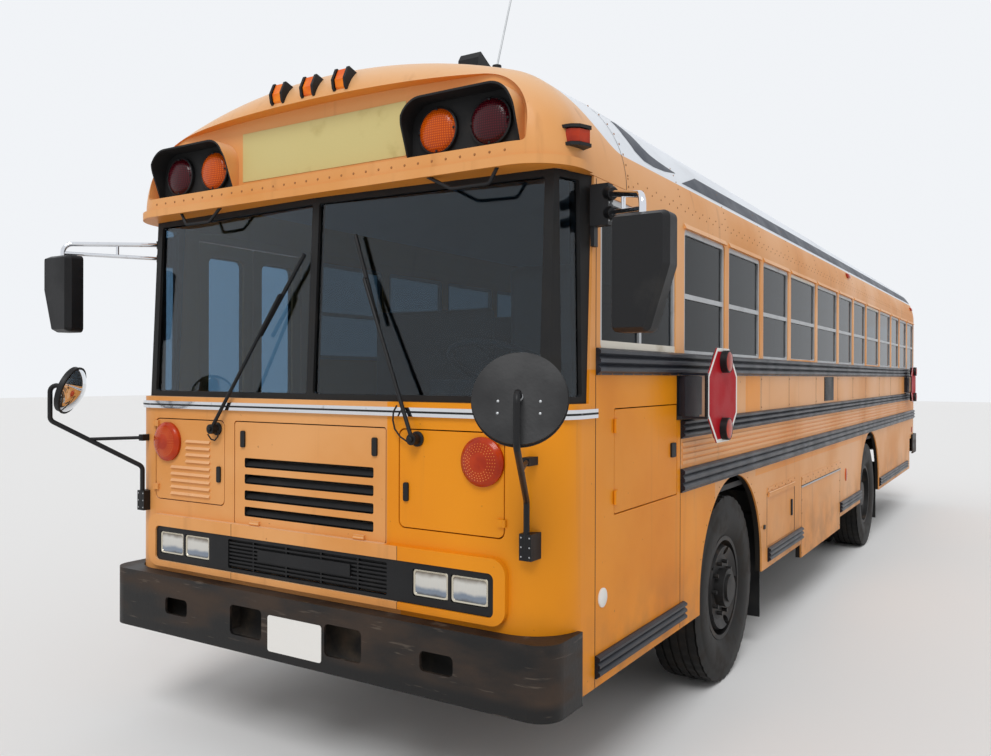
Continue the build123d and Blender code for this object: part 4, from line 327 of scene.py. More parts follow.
def bumper_paint():
    """Dull black, rubbed brown along the middle of the bar, with scrapes."""
    graph = Graph("bumper_paint")
    z = graph.axes()[2]
    low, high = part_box("bumpers")
    lip = graph.ramp(z, low.z + 0.035, low.z + 0.075)
    roll = graph.ramp(z, high.z - 0.055, high.z - 0.095)
    rubbed = graph.times(lip, roll, graph.ramp(graph.noise(2.6, 7.0, (1.0, 1.0, 2.5)), 0.36, 0.66))
    base = graph.over((19, 18, 18), (66, 51, 40), rubbed, 0.75)
    scrapes = graph.ramp(graph.noise(7.0, 8.0, (1.0, 1.0, 10.0)), 0.63, 0.72)
    base = graph.over(base, (116, 104, 92), scrapes, 0.30)
    graph.bump(graph.noise(60.0, 4.0), 0.3, 0.002)
    rough = graph.ramp(rubbed, 0.0, 1.0, 0.46, 0.68)
    return graph.set(Base_Color=base, Roughness=rough, Specular_IOR_Level=0.3)


def glass(name, tint, bend):
    graph = Graph(name)
    graph.bump(graph.noise(1.3, 1.0), 0.04, 0.01)
    return graph.set(Base_Color=tint, Roughness=0.0, Transmission_Weight=1.0, IOR=bend)


def lens(name, deep, bright, prism=None):
    """A moulded lens: with bands both ways for a grid of small prisms, or smooth."""
    graph = Graph(name)
    if prism:
        grid = graph.times(graph.waves("X", prism), graph.waves("Z", prism))
        base = graph.mix(graph.ramp(grid, 0.0, 0.8), deep, bright)
        graph.bump(grid, 0.35, 0.0015)
    else:
        base = graph.mix(graph.ramp(graph.noise(11.0, 3.0), 0.35, 0.65), deep, bright)
        graph.bump(graph.noise(60.0, 3.0), 0.10, 0.0008)
    return graph.set(Base_Color=base, Roughness=0.20 if prism else 0.22, Specular_IOR_Level=0.2,
                     Coat_Weight=0.12, Coat_Roughness=0.05)


def lamp_glass():
    """Clear fluted glass over a bright bowl, with painted reflections in bands by height: brown above, pale
    in the middle, blue-grey below.
    """
    graph = Graph("lamp_glass")
    uneven = graph.math("MULTIPLY_ADD", graph.noise(14.0, 3.0), 0.030, graph.axes()[2])
    base = (204, 202, 196)
    # Painted reflections: brown, blue-grey and dark grey bands by height
    bands = ((0.925, 0.948, (112, 102, 88)), (0.898, 0.880, (122, 134, 150)), (0.872, 0.858, (84, 86, 90)))
    for start, end, shade in bands:
        base = graph.mix(graph.ramp(uneven, start, end), base, shade)
    graph.bump(graph.waves("X", 26.0), 0.30, 0.0012)
    return graph.set(Base_Color=base, Roughness=0.14, Metallic=0.35, Coat_Weight=0.7, Coat_Roughness=0.03)


def rubber(name, shade, dusty):
    graph = Graph(name)
    dust = graph.ramp(graph.noise(9.0, 8.0), 0.42, 0.78)
    base = graph.over(shade, dusty, dust, 0.6)
    graph.bump(graph.noise(140.0, 4.0), 0.3, 0.0012)
    rough = graph.ramp(dust, 0.0, 1.0, 0.62, 0.85)
    return graph.set(Base_Color=base, Roughness=rough, Specular_IOR_Level=0.3)


def vinyl():
    """Seat vinyl with a pebbled grain and paler creases."""
    graph = Graph("seat_vinyl")
    worn = graph.ramp(graph.noise(4.0, 6.0), 0.5, 0.8)
    base = graph.over((70, 52, 42), (98, 76, 62), worn, 0.5)
    cells = graph.node("TexVoronoi", feature="DISTANCE_TO_EDGE")
    cells.inputs["Scale"].default_value = 420.0
    graph.feed(cells.inputs["Vector"], graph.place)
    graph.bump(cells.outputs["Distance"], 0.35, 0.0012)
    return graph.set(Base_Color=base, Roughness=0.46)


def bright_metal(name, shade, roughness):
    graph = Graph(name)
    pits = graph.ramp(graph.noise(30.0, 6.0), 0.62, 0.76)
    base = graph.over(shade, (120, 112, 100), pits, 0.35)
    rough = graph.ramp(pits, 0.0, 1.0, roughness, roughness + 0.2)
    return graph.set(Base_Color=base, Metallic=1.0, Roughness=rough)


PAINT = coach_paint()
RAIL_BLACK = plain_paint("rail_black", (24, 27, 36), (48, 53, 64), 0.34, 0.5)
TRIM_BLACK = plain_paint("trim_black", (18, 18, 20), (36, 35, 34), 0.50)
# Matt black of the hoods, also painted shade in the engine slots and behind the grille and the bumper's holes
HOOD_BLACK_AND_SHADE = plain_paint("hood_black_and_shade", (20, 20, 21), (40, 36, 34), 0.62)
CHASSIS = plain_paint("chassis_black", (38, 37, 36), (92, 78, 64), 0.70, 0.9)
IRON = plain_paint("cast_iron", (92, 88, 84), (110, 82, 60), 0.75, 0.9)
EXHAUST = plain_paint("exhaust_steel", (120, 108, 98), (118, 78, 50), 0.55, 0.9, 0.8)
WHEEL_BLACK = plain_paint("wheel_black", (28, 27, 27), (74, 62, 52), 0.55, 0.8)
SASH = plain_paint("sash_alloy", (176, 178, 180), (132, 130, 128), 0.42, 0.4, 0.55)
DASH = plain_paint("dash_plastic", (48, 47, 48), (74, 72, 70), 0.60)
SIGN_RED = plain_paint("sign_red", (168, 14, 28), (144, 22, 32), 0.55, 0.4, shine=0.12)
SIGN_WHITE = plain_paint("sign_white", (226, 224, 220), (188, 184, 178), 0.45, 0.4)
SIGN_CREAM = plain_paint("sign_cream", (202, 188, 128), (184, 168, 108), 0.50, 0.4)
STRIPE = plain_paint("stripe_charcoal", (50, 56, 68), (74, 80, 90), 0.45, 0.3)
FLOORING = rubber("floor_rubber", (42, 42, 43), (96, 90, 82))
BUMPER = bumper_paint()
GASKET = rubber("gasket_rubber", (20, 20, 21), (44, 42, 40))
TYRE = rubber("tyre_rubber", (17, 16, 15), (50, 43, 37))
VINYL = vinyl()
CHROME = bright_metal("chrome", (222, 224, 228), 0.10)
MIRROR = bright_metal("mirror_glass", (228, 232, 236), 0.02)
GLASS = glass("windshield_glass", (140, 166, 184), 1.42)
SIDE_GLASS = glass("side_glass", (62, 76, 84), 1.16)
LAMP_GLASS = lamp_glass()
AMBER = lens("amber_lens", (176, 64, 2), (220, 100, 6), 34.0)
TURN_LENS = lens("turn_lens", (158, 40, 4), (182, 56, 8))
LENS_DOTS = lens("lens_dots", (214, 118, 48), (228, 148, 80))
RED = lens("red_lens", (48, 3, 12), (84, 8, 20), 34.0)
MARKER_RED = lens("marker_lens", (144, 34, 12), (176, 52, 20))
MARKER_AMBER = lens("marker_amber", (226, 92, 8), (248, 138, 20))
FIXING = plain_paint("fixing_rust", (158, 106, 60), (116, 78, 50), 0.55)
BEZEL = bright_metal("lamp_bezel", (206, 198, 180), 0.24)
FRESH_PAINT = plain_paint("fresh_paint", (222, 142, 32), (204, 128, 44), 0.40)
PALE_BAND = plain_paint("pale_band", (214, 208, 196), (180, 170, 152), 0.50)

NODE_FINISHES = [
    # material, then the nodes that it covers
    (PAINT, ["left_wall", "right_wall", "roof", "roof_hatch", "front_cap", "front_fascia", "engine_panel",
             "front_door_left", "front_door_right", "side_access_door", "battery_door", "rear_wall",
             "entry_leaf_front", "entry_leaf_rear", "rear_door"]),
    (RAIL_BLACK, ["rub_rails", "stop_boxes"]),
    (TRIM_BLACK, ["grille", "wiper_left", "wiper_right", "mirror_heads", "cap_fittings"]),
    (HOOD_BLACK_AND_SHADE, ["warning_hoods"]),
    (CHASSIS, ["chassis_frame", "axles", "fuel_tank", "battery_box", "seat_frames"]),
    (IRON, ["engine", "knuckle_left", "knuckle_right"]),
    (EXHAUST, ["exhaust"]),
    (WHEEL_BLACK, ["wheel_front_left", "wheel_front_right", "wheels_rear_left", "wheels_rear_right"]),
    (SASH, ["window_sashes"]),
    (DASH, ["dashboard"]),
    (SIGN_RED, ["stop_sign_front", "stop_sign_rear"]),
    (FLOORING, ["floor"]),
    (BUMPER, ["bumpers"]),
    (GASKET, ["windshield_frame", "mud_flaps"]),
    (TYRE, ["tyre_front_left", "tyre_front_right", "tyres_rear_left", "tyres_rear_right"]),
    (VINYL, ["seats"]),
    (CHROME, ["mirror_arms", "trim_strip"]),
    (GLASS, ["glass", "entry_glass_front", "entry_glass_rear", "rear_door_glass"]),
    (LAMP_GLASS, ["headlamps"]),
    (AMBER, ["amber_lamps", "turn_lamp_left", "turn_lamp_right"]),
    (RED, ["red_lamps"]),
]


def finish_nodes():
    for material, names in NODE_FINISHES:
        for name in names:
            data = NODES[name].data
            data.materials.clear()
            data.materials.append(material)


def painted(node, material, chosen):
    """Give another material to the faces that a test of place and normal picks."""
    data = NODES[node].data
    data.materials.append(material)
    number = len(data.materials) - 1
    for face in data.polygons:
        if chosen(*face.center, face.normal):
            face.material_index = number



CLAMP_STATION = -0.960
CLAMP_OUT = 0.075
LAMP_PLACES = {"amber": 0.640, "red": 0.882}
HOOD_X = sum(LAMP_PLACES.values()) / 2
WARNING_Z = 2.634
WARNING_RADIUS = 0.092

# Parts of a node with a second finish: X, Z, or X with a station, where they begin
LOWER_ARM_Z = 1.95
SIDE_PANE = (1.15, -0.90)
AERIAL = (0.55, 3.075)
# The engine panel's slots, whose insides are painted shade: half width and heights
SLOT_HALF = 0.375
SLOT_Z = (1.03, 1.345)
FRONT_LATCHES = [
    # node, distance from the middle, half width, lowest Z
    ("engine_panel", 0.378, 0.014, 1.35),
    ("front_door_left", 0.536, 0.013, 0.0),
    ("front_door_right", 0.536, 0.013, 0.0),
]
SIDE_LATCHES = [
    # node, station, half length, Z, half height
    ("side_access_door", -0.102, 0.029, 1.345, 0.034),
    ("battery_door", 2.172, 0.015, 0.795, 0.056),
]


def second_finishes():
    """Clamps, latches, side panes, slots and lamps, which share a node with something else; the slots'
    insides are black as painted shade.
    """
    def hood_outside(x, y, z, normal):
        out = Vector((x - math.copysign(HOOD_X, x), 0.0, z - WARNING_Z))
        return abs(normal.y) < 0.5 and normal.dot(out) > 0.02

    painted("mirror_arms", TRIM_BLACK,
            lambda x, y, z, normal: z < LOWER_ARM_Z or abs(x) < BODY_HALF + CLAMP_OUT + 0.001)
    painted("warning_hoods", PAINT, hood_outside)
    painted("glass", SIDE_GLASS, lambda x, y, z, normal: abs(x) > SIDE_PANE[0] and y > at(SIDE_PANE[1]))
    painted("cap_fittings", SASH, lambda x, y, z, normal: x > AERIAL[0] and z > AERIAL[1])
    face_y = FRONT_Y + 0.0005
    # Painted shade: the insides of the engine panel's slots in black
    painted("engine_panel", HOOD_BLACK_AND_SHADE,
            lambda x, y, z, normal: y > face_y + 0.002 and abs(x) < SLOT_HALF and SLOT_Z[0] < z < SLOT_Z[1])
    for node, middle, half, low_z in FRONT_LATCHES:
        painted(node, TRIM_BLACK,
                lambda x, y, z, normal: y < face_y and z > low_z and abs(abs(x) - middle) < half)
    for node, station, half, level, half_high in SIDE_LATCHES:
        painted(node, TRIM_BLACK,
                lambda x, y, z, normal: x > BODY_HALF - 0.0005 and abs(y - at(station)) < half
                and abs(z - level) < half_high)
    for end in ENDS:
        low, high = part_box("stop_sign_" + end)
        middle = (low.x + high.x) / 2
        painted("stop_sign_" + end, TRIM_BLACK,
                lambda x, y, z, normal: abs(x - middle) > 0.0035 or y < low.y + 0.040)


# Building forms

def circle(radius, count, start=0.0):
    """Points round a circle, as pairs."""
    angles = [start + math.tau * number / count for number in range(count)]
    return [(radius * math.cos(angle), radius * math.sin(angle)) for angle in angles]


def rounded(wide, high, radius, steps=4):
    """Points round a rectangle with round corners, as pairs."""
    loop = []
    radius = min(radius, wide * 0.45, high * 0.45)
    for turn, (u, v) in enumerate(((1, 1), (-1, 1), (-1, -1), (1, -1))):
        for step in range(steps + 1):
            angle = math.pi / 2 * (turn + step / steps)
            loop.append((u * (wide / 2 - radius) + radius * math.cos(angle),
                         v * (high / 2 - radius) + radius * math.sin(angle)))
    return loop


def scaled(loop, levels):
    """A loop at several sizes: each level is a share of its size and a distance out."""
    return [([(share * u, share * v) for u, v in loop], out) for share, out in levels]


class Form:
    """Points and faces of one new piece, gathered from simple parts."""

    def __init__(self):
        self.points = []
        self.faces = []

    def rows(self, rows, closed=True, caps=True, looped=False):
        """Skin equal rows of points: closed joins each row's ends, looped joins the last row to the first."""
        start = len(self.points)
        count = len(rows[0])
        for row in rows:
            self.points.extend(Vector(point) for point in row)
        for number in range(len(rows) if looped else len(rows) - 1):
            low = start + number * count
            high = start + (number + 1) % len(rows) * count
            for step in range(count if closed else count - 1):
                after = (step + 1) % count
                self.faces.append((low + step, low + after, high + after, high + step))
        if closed and caps and not looped:
            self.faces.append(tuple(range(start + count - 1, start - 1, -1)))
            last = start + (len(rows) - 1) * count
            self.faces.append(tuple(range(last, last + count)))

    def stacked(self, levels, place, caps=True):
        """Skin loops of pairs, each at its distance out; place turns a pair and a distance into a point."""
        self.rows([[place(u, v, out) for u, v in loop] for loop, out in levels], caps=caps)

    def brick(self, first, last):
        """A box between two opposite corners."""
        (x, y, z), (far_x, far_y, far_z) = first, last
        self.rows([[(x, y, level), (far_x, y, level), (far_x, far_y, level), (x, far_y, level)]
                   for level in (z, far_z)])

    def strip(self, side, stations, heights, out):
        """A thin flat strip on a side wall."""
        self.brick((side * (BODY_HALF - 0.0005), at(stations[0]), heights[0]),
                   (side * (BODY_HALF + out), at(stations[1]), heights[1]))

    def turned(self, profile, centre, axis, steps=32, caps=True):
        """A turned form: profile pairs are a radius and a distance along the axis from the centre."""
        axis = Vector(axis).normalized()
        side = axis.orthogonal().normalized()
        other = axis.cross(side)
        rows = []
        for radius, along in profile:
            middle = Vector(centre) + axis * along
            rows.append([middle + side * u + other * v for u, v in circle(radius, steps)])
        self.rows(rows, caps=caps)

    def tube(self, points, radius, sides=10):
        """A round tube along straight runs."""
        points = [Vector(point) for point in points]
        rows = []
        side = None
        for number, point in enumerate(points):
            before = points[max(number - 1, 0)]
            after = points[min(number + 1, len(points) - 1)]
            ahead = (after - before).normalized()
            side = ahead.orthogonal() if side is None else side - ahead * side.dot(ahead)
            side.normalize()
            other = ahead.cross(side)
            rows.append([point + side * u + other * v for u, v in circle(radius, sides)])
        self.rows(rows)

    def rivet(self, centre, axis, radius=0.006):
        profile = [(radius, 0.0), (radius * 0.8, radius * 0.32), (radius * 0.25, radius * 0.5)]
        self.turned(profile, centre, axis, 7)

    def make(self, name, material, slot, body="coach", smooth=35.0, bevel=0.0):
        data = bpy.data.meshes.new(name)
        data.from_pydata([tuple(point) for point in self.points], [], self.faces)
        tidy = bmesh.new()
        tidy.from_mesh(data)
        bmesh.ops.recalc_face_normals(tidy, faces=tidy.faces)
        tidy.to_mesh(data)
        tidy.free()
        data.polygons.foreach_set("use_smooth", [True] * len(data.polygons))
        data.set_sharp_from_angle(angle=math.radians(smooth))
        data.materials.append(material)
        piece = bpy.data.objects.new(name, data)
        bpy.context.scene.collection.objects.link(piece)
        if bevel:
            edges = piece.modifiers.new("edges", "BEVEL")
            edges.width = bevel
            edges.segments = 2
            edges.limit_method = "ANGLE"
        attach(piece, body)
        return piece


def roof_x(z):
    """Half width of the roof's outer face at a height on the eave arc."""
    return BODY_HALF - EAVE_RADIUS + math.sqrt(EAVE_RADIUS**2 - (z - EAVE_Z) ** 2)


def nose_line(out, steps=10):
    """Points round the front corners in plan, a distance outside the body, from left to right."""
    radius = CORNER_RADIUS + out
    line = [(BODY_HALF + out, at(FASCIA_REAR))]
    for step in range(steps + 1):
        angle = -math.pi / 2 * step / steps
        line.append((BODY_HALF - CORNER_RADIUS + radius * math.cos(angle),
                     FRONT_Y + CORNER_RADIUS + radius * math.sin(angle)))
    return line + [(-x, y) for x, y in reversed(line)]


# Tyres

TREAD_STEPS = 168
TREAD_DEPTH = 0.011
SIDEWALL = [
    # distance from the middle as a share of half the width, then radius as a share of the outer one
    (0.72, 0.534), (0.80, 0.560), (0.955, 0.640), (1.0, 0.760), (0.985, 0.860), (0.970, 0.868),
    (0.955, 0.905), (0.930, 0.945),
]
TREAD_RIBS = (-0.86, -0.52, -0.18, 0.18, 0.52, 0.86)


def tyre_row(angle, low, centre_x, centre_y):
    """Points across a tyre at one angle, from bead to bead: low gives the gaps between its lugs."""
    shoulder = TYRE_RADIUS - (TREAD_DEPTH if low else 0.004)
    wall = [(side, radius * TYRE_RADIUS) for side, radius in SIDEWALL]
    row = wall + [(TREAD_RIBS[-1] + 0.03, shoulder)]
    for first, last in reversed(list(zip(TREAD_RIBS, TREAD_RIBS[1:]))):
        crown = TYRE_RADIUS - 0.003 * max(abs(first), abs(last))
        edge = crown - (TREAD_DEPTH * 0.5 if low else 0.0)
        row += [(last - 0.035, crown - TREAD_DEPTH), (last - 0.045, edge), (first + 0.045, edge),
                (first + 0.035, crown - TREAD_DEPTH)]
    row += [(TREAD_RIBS[0] - 0.03, shoulder)] + [(-side, radius) for side, radius in reversed(wall)]
    return [(centre_x + side * TYRE_WIDE / 2, centre_y + radius * math.cos(angle),
             AXLE_Z + radius * math.sin(angle)) for side, radius in row]


def tyres():
    for node in ("tyre_front_left", "tyre_front_right", "tyres_rear_left", "tyres_rear_right"):
        low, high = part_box(node)
        centres = [(low.x + high.x) / 2]
        if node.startswith("tyres"):
            centres = [low.x + TYRE_WIDE / 2, high.x - TYRE_WIDE / 2]
        form = Form()
        for centre_x in centres:
            rows = [tyre_row(math.tau * number / TREAD_STEPS, number % 4 == 0, centre_x, (low.y + high.y) / 2)
                    for number in range(TREAD_STEPS)]
            form.rows(rows, looped=True)
        piece = form.make("tread_" + node, TYRE, "tyre", node.replace("tyre", "wheel"))
        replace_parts(piece, node)


# Lamps

MARKER_WEDGE = [(-0.056, -0.014), (-0.057, 0.008), (-0.040, 0.034), (0.008, 0.052), (0.057, -0.014)]
MARKER_HALF = 0.025
CROWN_MARKER_XS = (-0.180, 0.0, 0.180)
CROWN_MARKER = (-1.190, 2.905)
SIDE_MARKER = (1.181, -1.070, 2.555)
TAIL_LAMPS = [
    # lens, X, Z, radius, depth
    ("amber", 0.760, 1.420, 0.092, 0.034),
    ("red", 0.980, 1.420, 0.092, 0.034),
    ("red", 0.980, 1.130, 0.060, 0.030),
]
HEADLAMP_XS = (0.664, 0.842)
HEADLAMP_Z = 0.889
HEADLAMP_SIZE = (0.164, 0.104)


def dome(radius, deep, rim):
    """Profile of a domed lens over its rim, as radius and distance."""
    profile = [(radius, 0.0), (radius, rim), (radius * 0.96, rim + 0.002)]
    for step in range(1, 7):
        angle = math.pi / 2 * step / 6
        profile.append((radius * 0.95 * math.cos(angle) + 0.0005, rim + (deep - rim) * math.sin(angle)))
    return profile


def warning_lamps(lenses, rims):
    radius = WARNING_RADIUS
    rim = [(radius, 0.0), (radius, 0.016), (radius - 0.005, 0.018), (radius - 0.010, 0.012)]
    for name, x in LAMP_PLACES.items():
        for side in SIDES:
            for y, out in ((FRONT_Y + POCKET_DEPTH - 0.0083, -1), (REAR_Y + STAND_OFF, 1)):
                centre = (side * x, y, WARNING_Z)
                lenses[name].turned(dome(radius - 0.006, 0.040, 0.014), centre, (0, out, 0))
                rims.turned(rim, centre, (0, out, 0))
                for u, v in circle(radius - 0.011, 4):
                    rims.rivet((side * x + u, y + out * 0.022, WARNING_Z + v), (0, out, 0))


def tail_lamps(lenses, rims):
    for name, x, z, radius, deep in TAIL_LAMPS:
        rim = [(radius, 0.0), (radius, 0.014), (radius - 0.008, 0.014), (radius - 0.010, 0.010)]
        for side in SIDES:
            centre = (side * x, REAR_Y + STAND_OFF, z)
            lenses[name].turned(dome(radius - 0.006, deep - 0.002, 0.012), centre, (0, 1, 0))
            rims.turned(rim, centre, (0, 1, 0))


def marker_lens(form, origin, *ways):
    """The wedge of a marker lamp, with eased sides: the ways run across it, along it and out of it."""
    across, along, out = [Vector(way) for way in ways]
    rows = []
    for place, share in ((-1.0, 0.94), (-0.92, 1.0), (0.92, 1.0), (1.0, 0.94)):
        rows.append([Vector(origin) + across * (MARKER_HALF * place) + along * (u * share) + out * (v * share)
                     for u, v in MARKER_WEDGE])
    form.rows(rows)


def cap_markers():
    """Three marker lamps on the crown of the cap and one on each of its sides."""
    slope = math.sqrt(0.5)
    crown = Form()
    station, z = CROWN_MARKER
    for x in CROWN_MARKER_XS:
        marker_lens(crown, (x, at(station), z), (1, 0, 0), (0, slope, slope), (0, -slope, slope))
    sides = Form()
    x, station, z = SIDE_MARKER
    for side in SIDES:
        marker_lens(sides, (side * x, at(station), z), (0, 0, 1), (0, 1, 0), (side, 0, 0))
    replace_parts(sides.make("cap_side_markers", MARKER_RED, "lamp_amber"), "amber_lamps")
    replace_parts(crown.make("crown_markers", MARKER_AMBER, "lamp_amber"), "amber_lamps")


def lamps():
    lenses = {"amber": Form(), "red": Form()}
    rims = Form()
    warning_lamps(lenses, rims)
    tail_lamps(lenses, rims)
    cap_markers()
    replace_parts(lenses["amber"].make("amber_lenses", AMBER, "lamp_amber"), "amber_lamps")
    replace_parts(lenses["red"].make("red_lenses", RED, "lamp_red"), "red_lamps")
    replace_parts(rims.make("lamp_rims", TRIM_BLACK, "black_plastic"), "amber_lamps", "red_lamps")


def turn_lamps():
    rim = 0.012
    for name in ("left", "right"):
        low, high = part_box("turn_lamp_" + name)
        x, y, z = (low.x + high.x) / 2, high.y - 0.0007, (low.z + high.z) / 2
        radius = (high.x - low.x) / 2
        deep = high.y - low.y - 0.002
        form = Form()
        form.turned(dome(radius, deep, rim), (x, y, z), (0, -1, 0), 40)
        piece = form.make("turn_lens_" + name, TURN_LENS, "lamp_amber", "front_door_" + name)
        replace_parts(piece, "turn_lamp_" + name)
        dots = Form()
        for share, count in ((0.44, 20), (0.54, 25), (0.64, 30), (0.74, 34)):
            out = rim + (deep - rim) * math.sqrt(1 - (share / 0.95) ** 2)
            for u, v in circle(share * radius, count):
                dots.rivet((x + u, y - out, z + v), (0, -1, 0), 0.0022)
        dots.make("turn_dots_" + name, LENS_DOTS, "lamp_amber", "front_door_" + name)


def headlamps():
    """Four sealed lamps: each a pale frame and a fluted glass."""
    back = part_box("headlamps")[1].y
    frames = Form()
    glasses = Form()
    profiles = [
        # form, then the inset and the distance out of each of its rings
        (frames, [(0.0, 0.0), (0.0, 0.013), (0.003, 0.015), (0.008, 0.013), (0.012, 0.006), (0.030, 0.002)]),
        (glasses, [(0.009, 0.0085), (0.009, 0.0115), (0.020, 0.0140), (0.045, 0.0148)]),
    ]
    for x in [side * x for x in HEADLAMP_XS for side in SIDES]:
        for form, profile in profiles:
            levels = [(rounded(HEADLAMP_SIZE[0] - 2 * inset, HEADLAMP_SIZE[1] - 2 * inset, 0.012), out)
                      for inset, out in profile]
            form.stacked(levels, lambda u, v, out: (x + u, back - out, HEADLAMP_Z + v))
    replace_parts(frames.make("headlamp_frames", BEZEL, "bright_trim"), "headlamps")
    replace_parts(glasses.make("headlamp_glasses", LAMP_GLASS, "lamp_clear"), "headlamps")


# Trim, signs and fasteners

POSTS = [sum(WINDOW_PITCHES[:number]) for number in range(len(WINDOW_PITCHES) + 1)]

# Roof stripes: stations and heights
HOOK_LOWER = [(-0.470, 2.790), (-0.480, 2.715), (-0.440, 2.650), (-0.370, 2.622), (-0.260, 2.618),
              (-0.120, 2.628), (0.045, 2.652)]
HOOK_UPPER = [(-0.400, 2.800), (-0.330, 2.752), (-0.290, 2.705), (-0.240, 2.682), (-0.160, 2.670),
              (-0.060, 2.662), (0.050, 2.655)]
STRIPE_Z = (2.612, 2.668)
STRIPE_HIGH = 0.088

# Rivets and joints
RAIL_RIVET_PITCH = 0.105
EAVE_RIVET_PITCH = 0.052
SMALL_RIVET = 0.0045
LARGE_RIVET = 0.0055
BROW_RIVETS = 31
BROW_HALF = 0.98
BROW_Z = 2.502
CAP_SEAM_HIGH = 0.42
TRIM_LINE_OUT = 0.0126
TRIM_LINE_Z = (1.5385, 1.5465)
SEAM_WIDE = 0.0035
SEAM_OUT = 0.0008

# Signs and plates
SIGN_HALF = 0.470
SIGN_HIGH = 0.220
FRONT_SIGN_Z = 2.564
REAR_SIGN_Z = 2.500
PLATE_SIZE = (0.305, 0.152)
FRONT_PLATE = (0.0125, 0.594)
REAR_PLATE = (-0.740, 1.130)
STOP_SIZE = 0.450
STOP_LAMP_UP = 0.161

# Side walls, as stations and heights
AXLES = (FRONT_AXLE, REAR_AXLE)
APRON_XS = (0.482, 0.488)
APRON_Z = (0.735, 1.085)
APRON_HALF = 0.640
ARCH_RADIUS = 0.594
ARCH_Z = 0.566
FUEL_PANEL = (2.468, 3.885)
BATTERY_DOOR = (1.546, 2.262)
VENT_PLATE = ((3.231, 3.588), (1.494, 1.683))
LOUVRE_STATIONS = (3.245, 3.574)
LOUVRE_FIRST_Z = 1.510
LOUVRE_PITCH = 0.025
STOP_ARM_PLATE = ((-0.052, 0.262), (1.480, 1.686))
DRIVER_SILL = (-0.880, -0.073)
# Painted shade behind the grille and the bumper's outer holes: half width of the sheet, then X and Z of the
# plates
GRILLE_HALF = 0.452
HOLE_SHADE_XS = (0.925, 1.080)
HOLE_SHADE_Z = (0.500, 0.740)
ENTRY_PANES = ((1.560, 2.320), (0.700, 1.420))
REAR_DOOR_PANES = ((1.800, 2.330), (1.220, 1.640))
REAR_DOOR_PANE_WIDE = 0.738
REAR_PANE_XS = (-0.790, 0.790)
REAR_PANE_SIZE = (0.500, 0.601)

# Mirrors, wipers and the driver's place
CLAMP_ARMS = [
    # Z of the arm's root, its head's height over the mirror's top, radius of the arm
    (2.365, 0.060, 0.021),
    (2.290, 0.014, 0.019),
]
CLAMP_EAR_Z = (2.170, 2.246)
CLAMP_SCREW_Z = (2.262, 2.328, 2.386)
BRACKET_SCREW_Z = (1.044, 1.078, 1.112)
MIRRORS = [
    # X, station and top of each main head
    (1.537, -1.302, 2.211),
    (-1.537, -1.375, 2.279),
]
CROSSVIEWS = [
    # X, station and radius of each round mirror
    (1.250, -1.590, 0.150),
    (-1.195, -1.540, 0.110),
]
CROSSVIEW_Z = 1.609
BRACKET_XS = (1.089, -1.054)
SEAT_X = 0.660
DRIVER_STATION = -0.330
WIPER_XS = {"left": 0.590, "right": -0.548}
WIPER_Z = 1.439
WASHER_HOSES = {
    # X from the pivot, distance out of the panel, height from the pivot
    "left": [(0.010, 0.030, -0.020), (-0.030, 0.022, -0.012), (-0.070, 0.018, 0.006), (-0.098, 0.018, 0.036),
             (-0.104, 0.022, 0.070), (-0.092, 0.034, 0.104), (-0.066, 0.046, 0.128)],
    "right": [(0.030, 0.020, -0.006), (0.024, 0.018, -0.034), (0.004, 0.018, -0.052), (-0.018, 0.020, -0.048),
              (-0.030, 0.030, -0.024)],
}


def roof_decal(form, lower, upper, steps=24, rows=4):
    """A painted band between two edges of few points, laid on the roof's side."""
    def along(edge, share):
        place = share * (len(edge) - 1)
        number = min(int(place), len(edge) - 2)
        return Vector(edge[number]).lerp(Vector(edge[number + 1]), place - number)

    for side in SIDES:
        grid = []
        for step in range(steps + 1):
            low = along(lower, step / steps)
            high = along(upper, step / steps)
            places = [low.lerp(high, row / rows) for row in range(rows + 1)]
            grid.append([(side * (roof_x(z) + 0.0012), at(station), z) for station, z in places])
        form.rows(grid, closed=False)


def stripes():
    form = Form()
    roof_decal(form, HOOK_LOWER, HOOK_UPPER)
    low, far_low = STRIPE_Z
    roof_decal(form, [(0.090, low), (REAR_SEAM, far_low)],
               [(0.400, low + STRIPE_HIGH), (REAR_SEAM, far_low + STRIPE_HIGH)], 60)
    form.make("roof_stripes", STRIPE, "black_metal")


def rivets():
    """Rows of rivets on the rails, the roof edge, the cap's seam and the brow."""
    form = Form()

    def on_wall(side, station, z, out=0.0):
        form.rivet((side * (BODY_HALF + out), at(station), z), (side, 0, 0), 0.005)

    def on_roof(side, station, z, radius=SMALL_RIVET):
        form.rivet((side * roof_x(z), at(station), z), (side, 0, 0), radius)

    for side in SIDES:
        station = FASCIA_REAR + 0.03 if side > 0 else 0.0
        while station < REAR_SEAM:
            on_wall(side, station, RAILS["sill"][0] + 0.005, 0.008)
            station += RAIL_RIVET_PITCH
        for number in range(int((REAR_SEAM - CAP_REAR) / EAVE_RIVET_PITCH)):
            z = EAVE_Z + (0.028 if number % 2 else 0.052)
            on_roof(side, CAP_REAR + 0.02 + EAVE_RIVET_PITCH * number, z)
        for station in POSTS:
            for number in range(5):
                on_roof(side, station, EAVE_Z + 0.09 + 0.034 * number)
            for z in (RAILS["seat"][1] + 0.02, RAILS["sill"][0] - 0.02):
                on_wall(side, station + 0.012, z)
        for number in range(9):
            on_roof(side, CAP_REAR + 0.022, EAVE_Z + 0.02 + 0.045 * number, LARGE_RIVET)
    for number in range(BROW_RIVETS):
        x = BROW_HALF * (2 * number / (BROW_RIVETS - 1) - 1)
        form.rivet((x, FRONT_Y, BROW_Z), (0, -1, 0), LARGE_RIVET)
    form.make("rivets", FIXING, "body_paint")


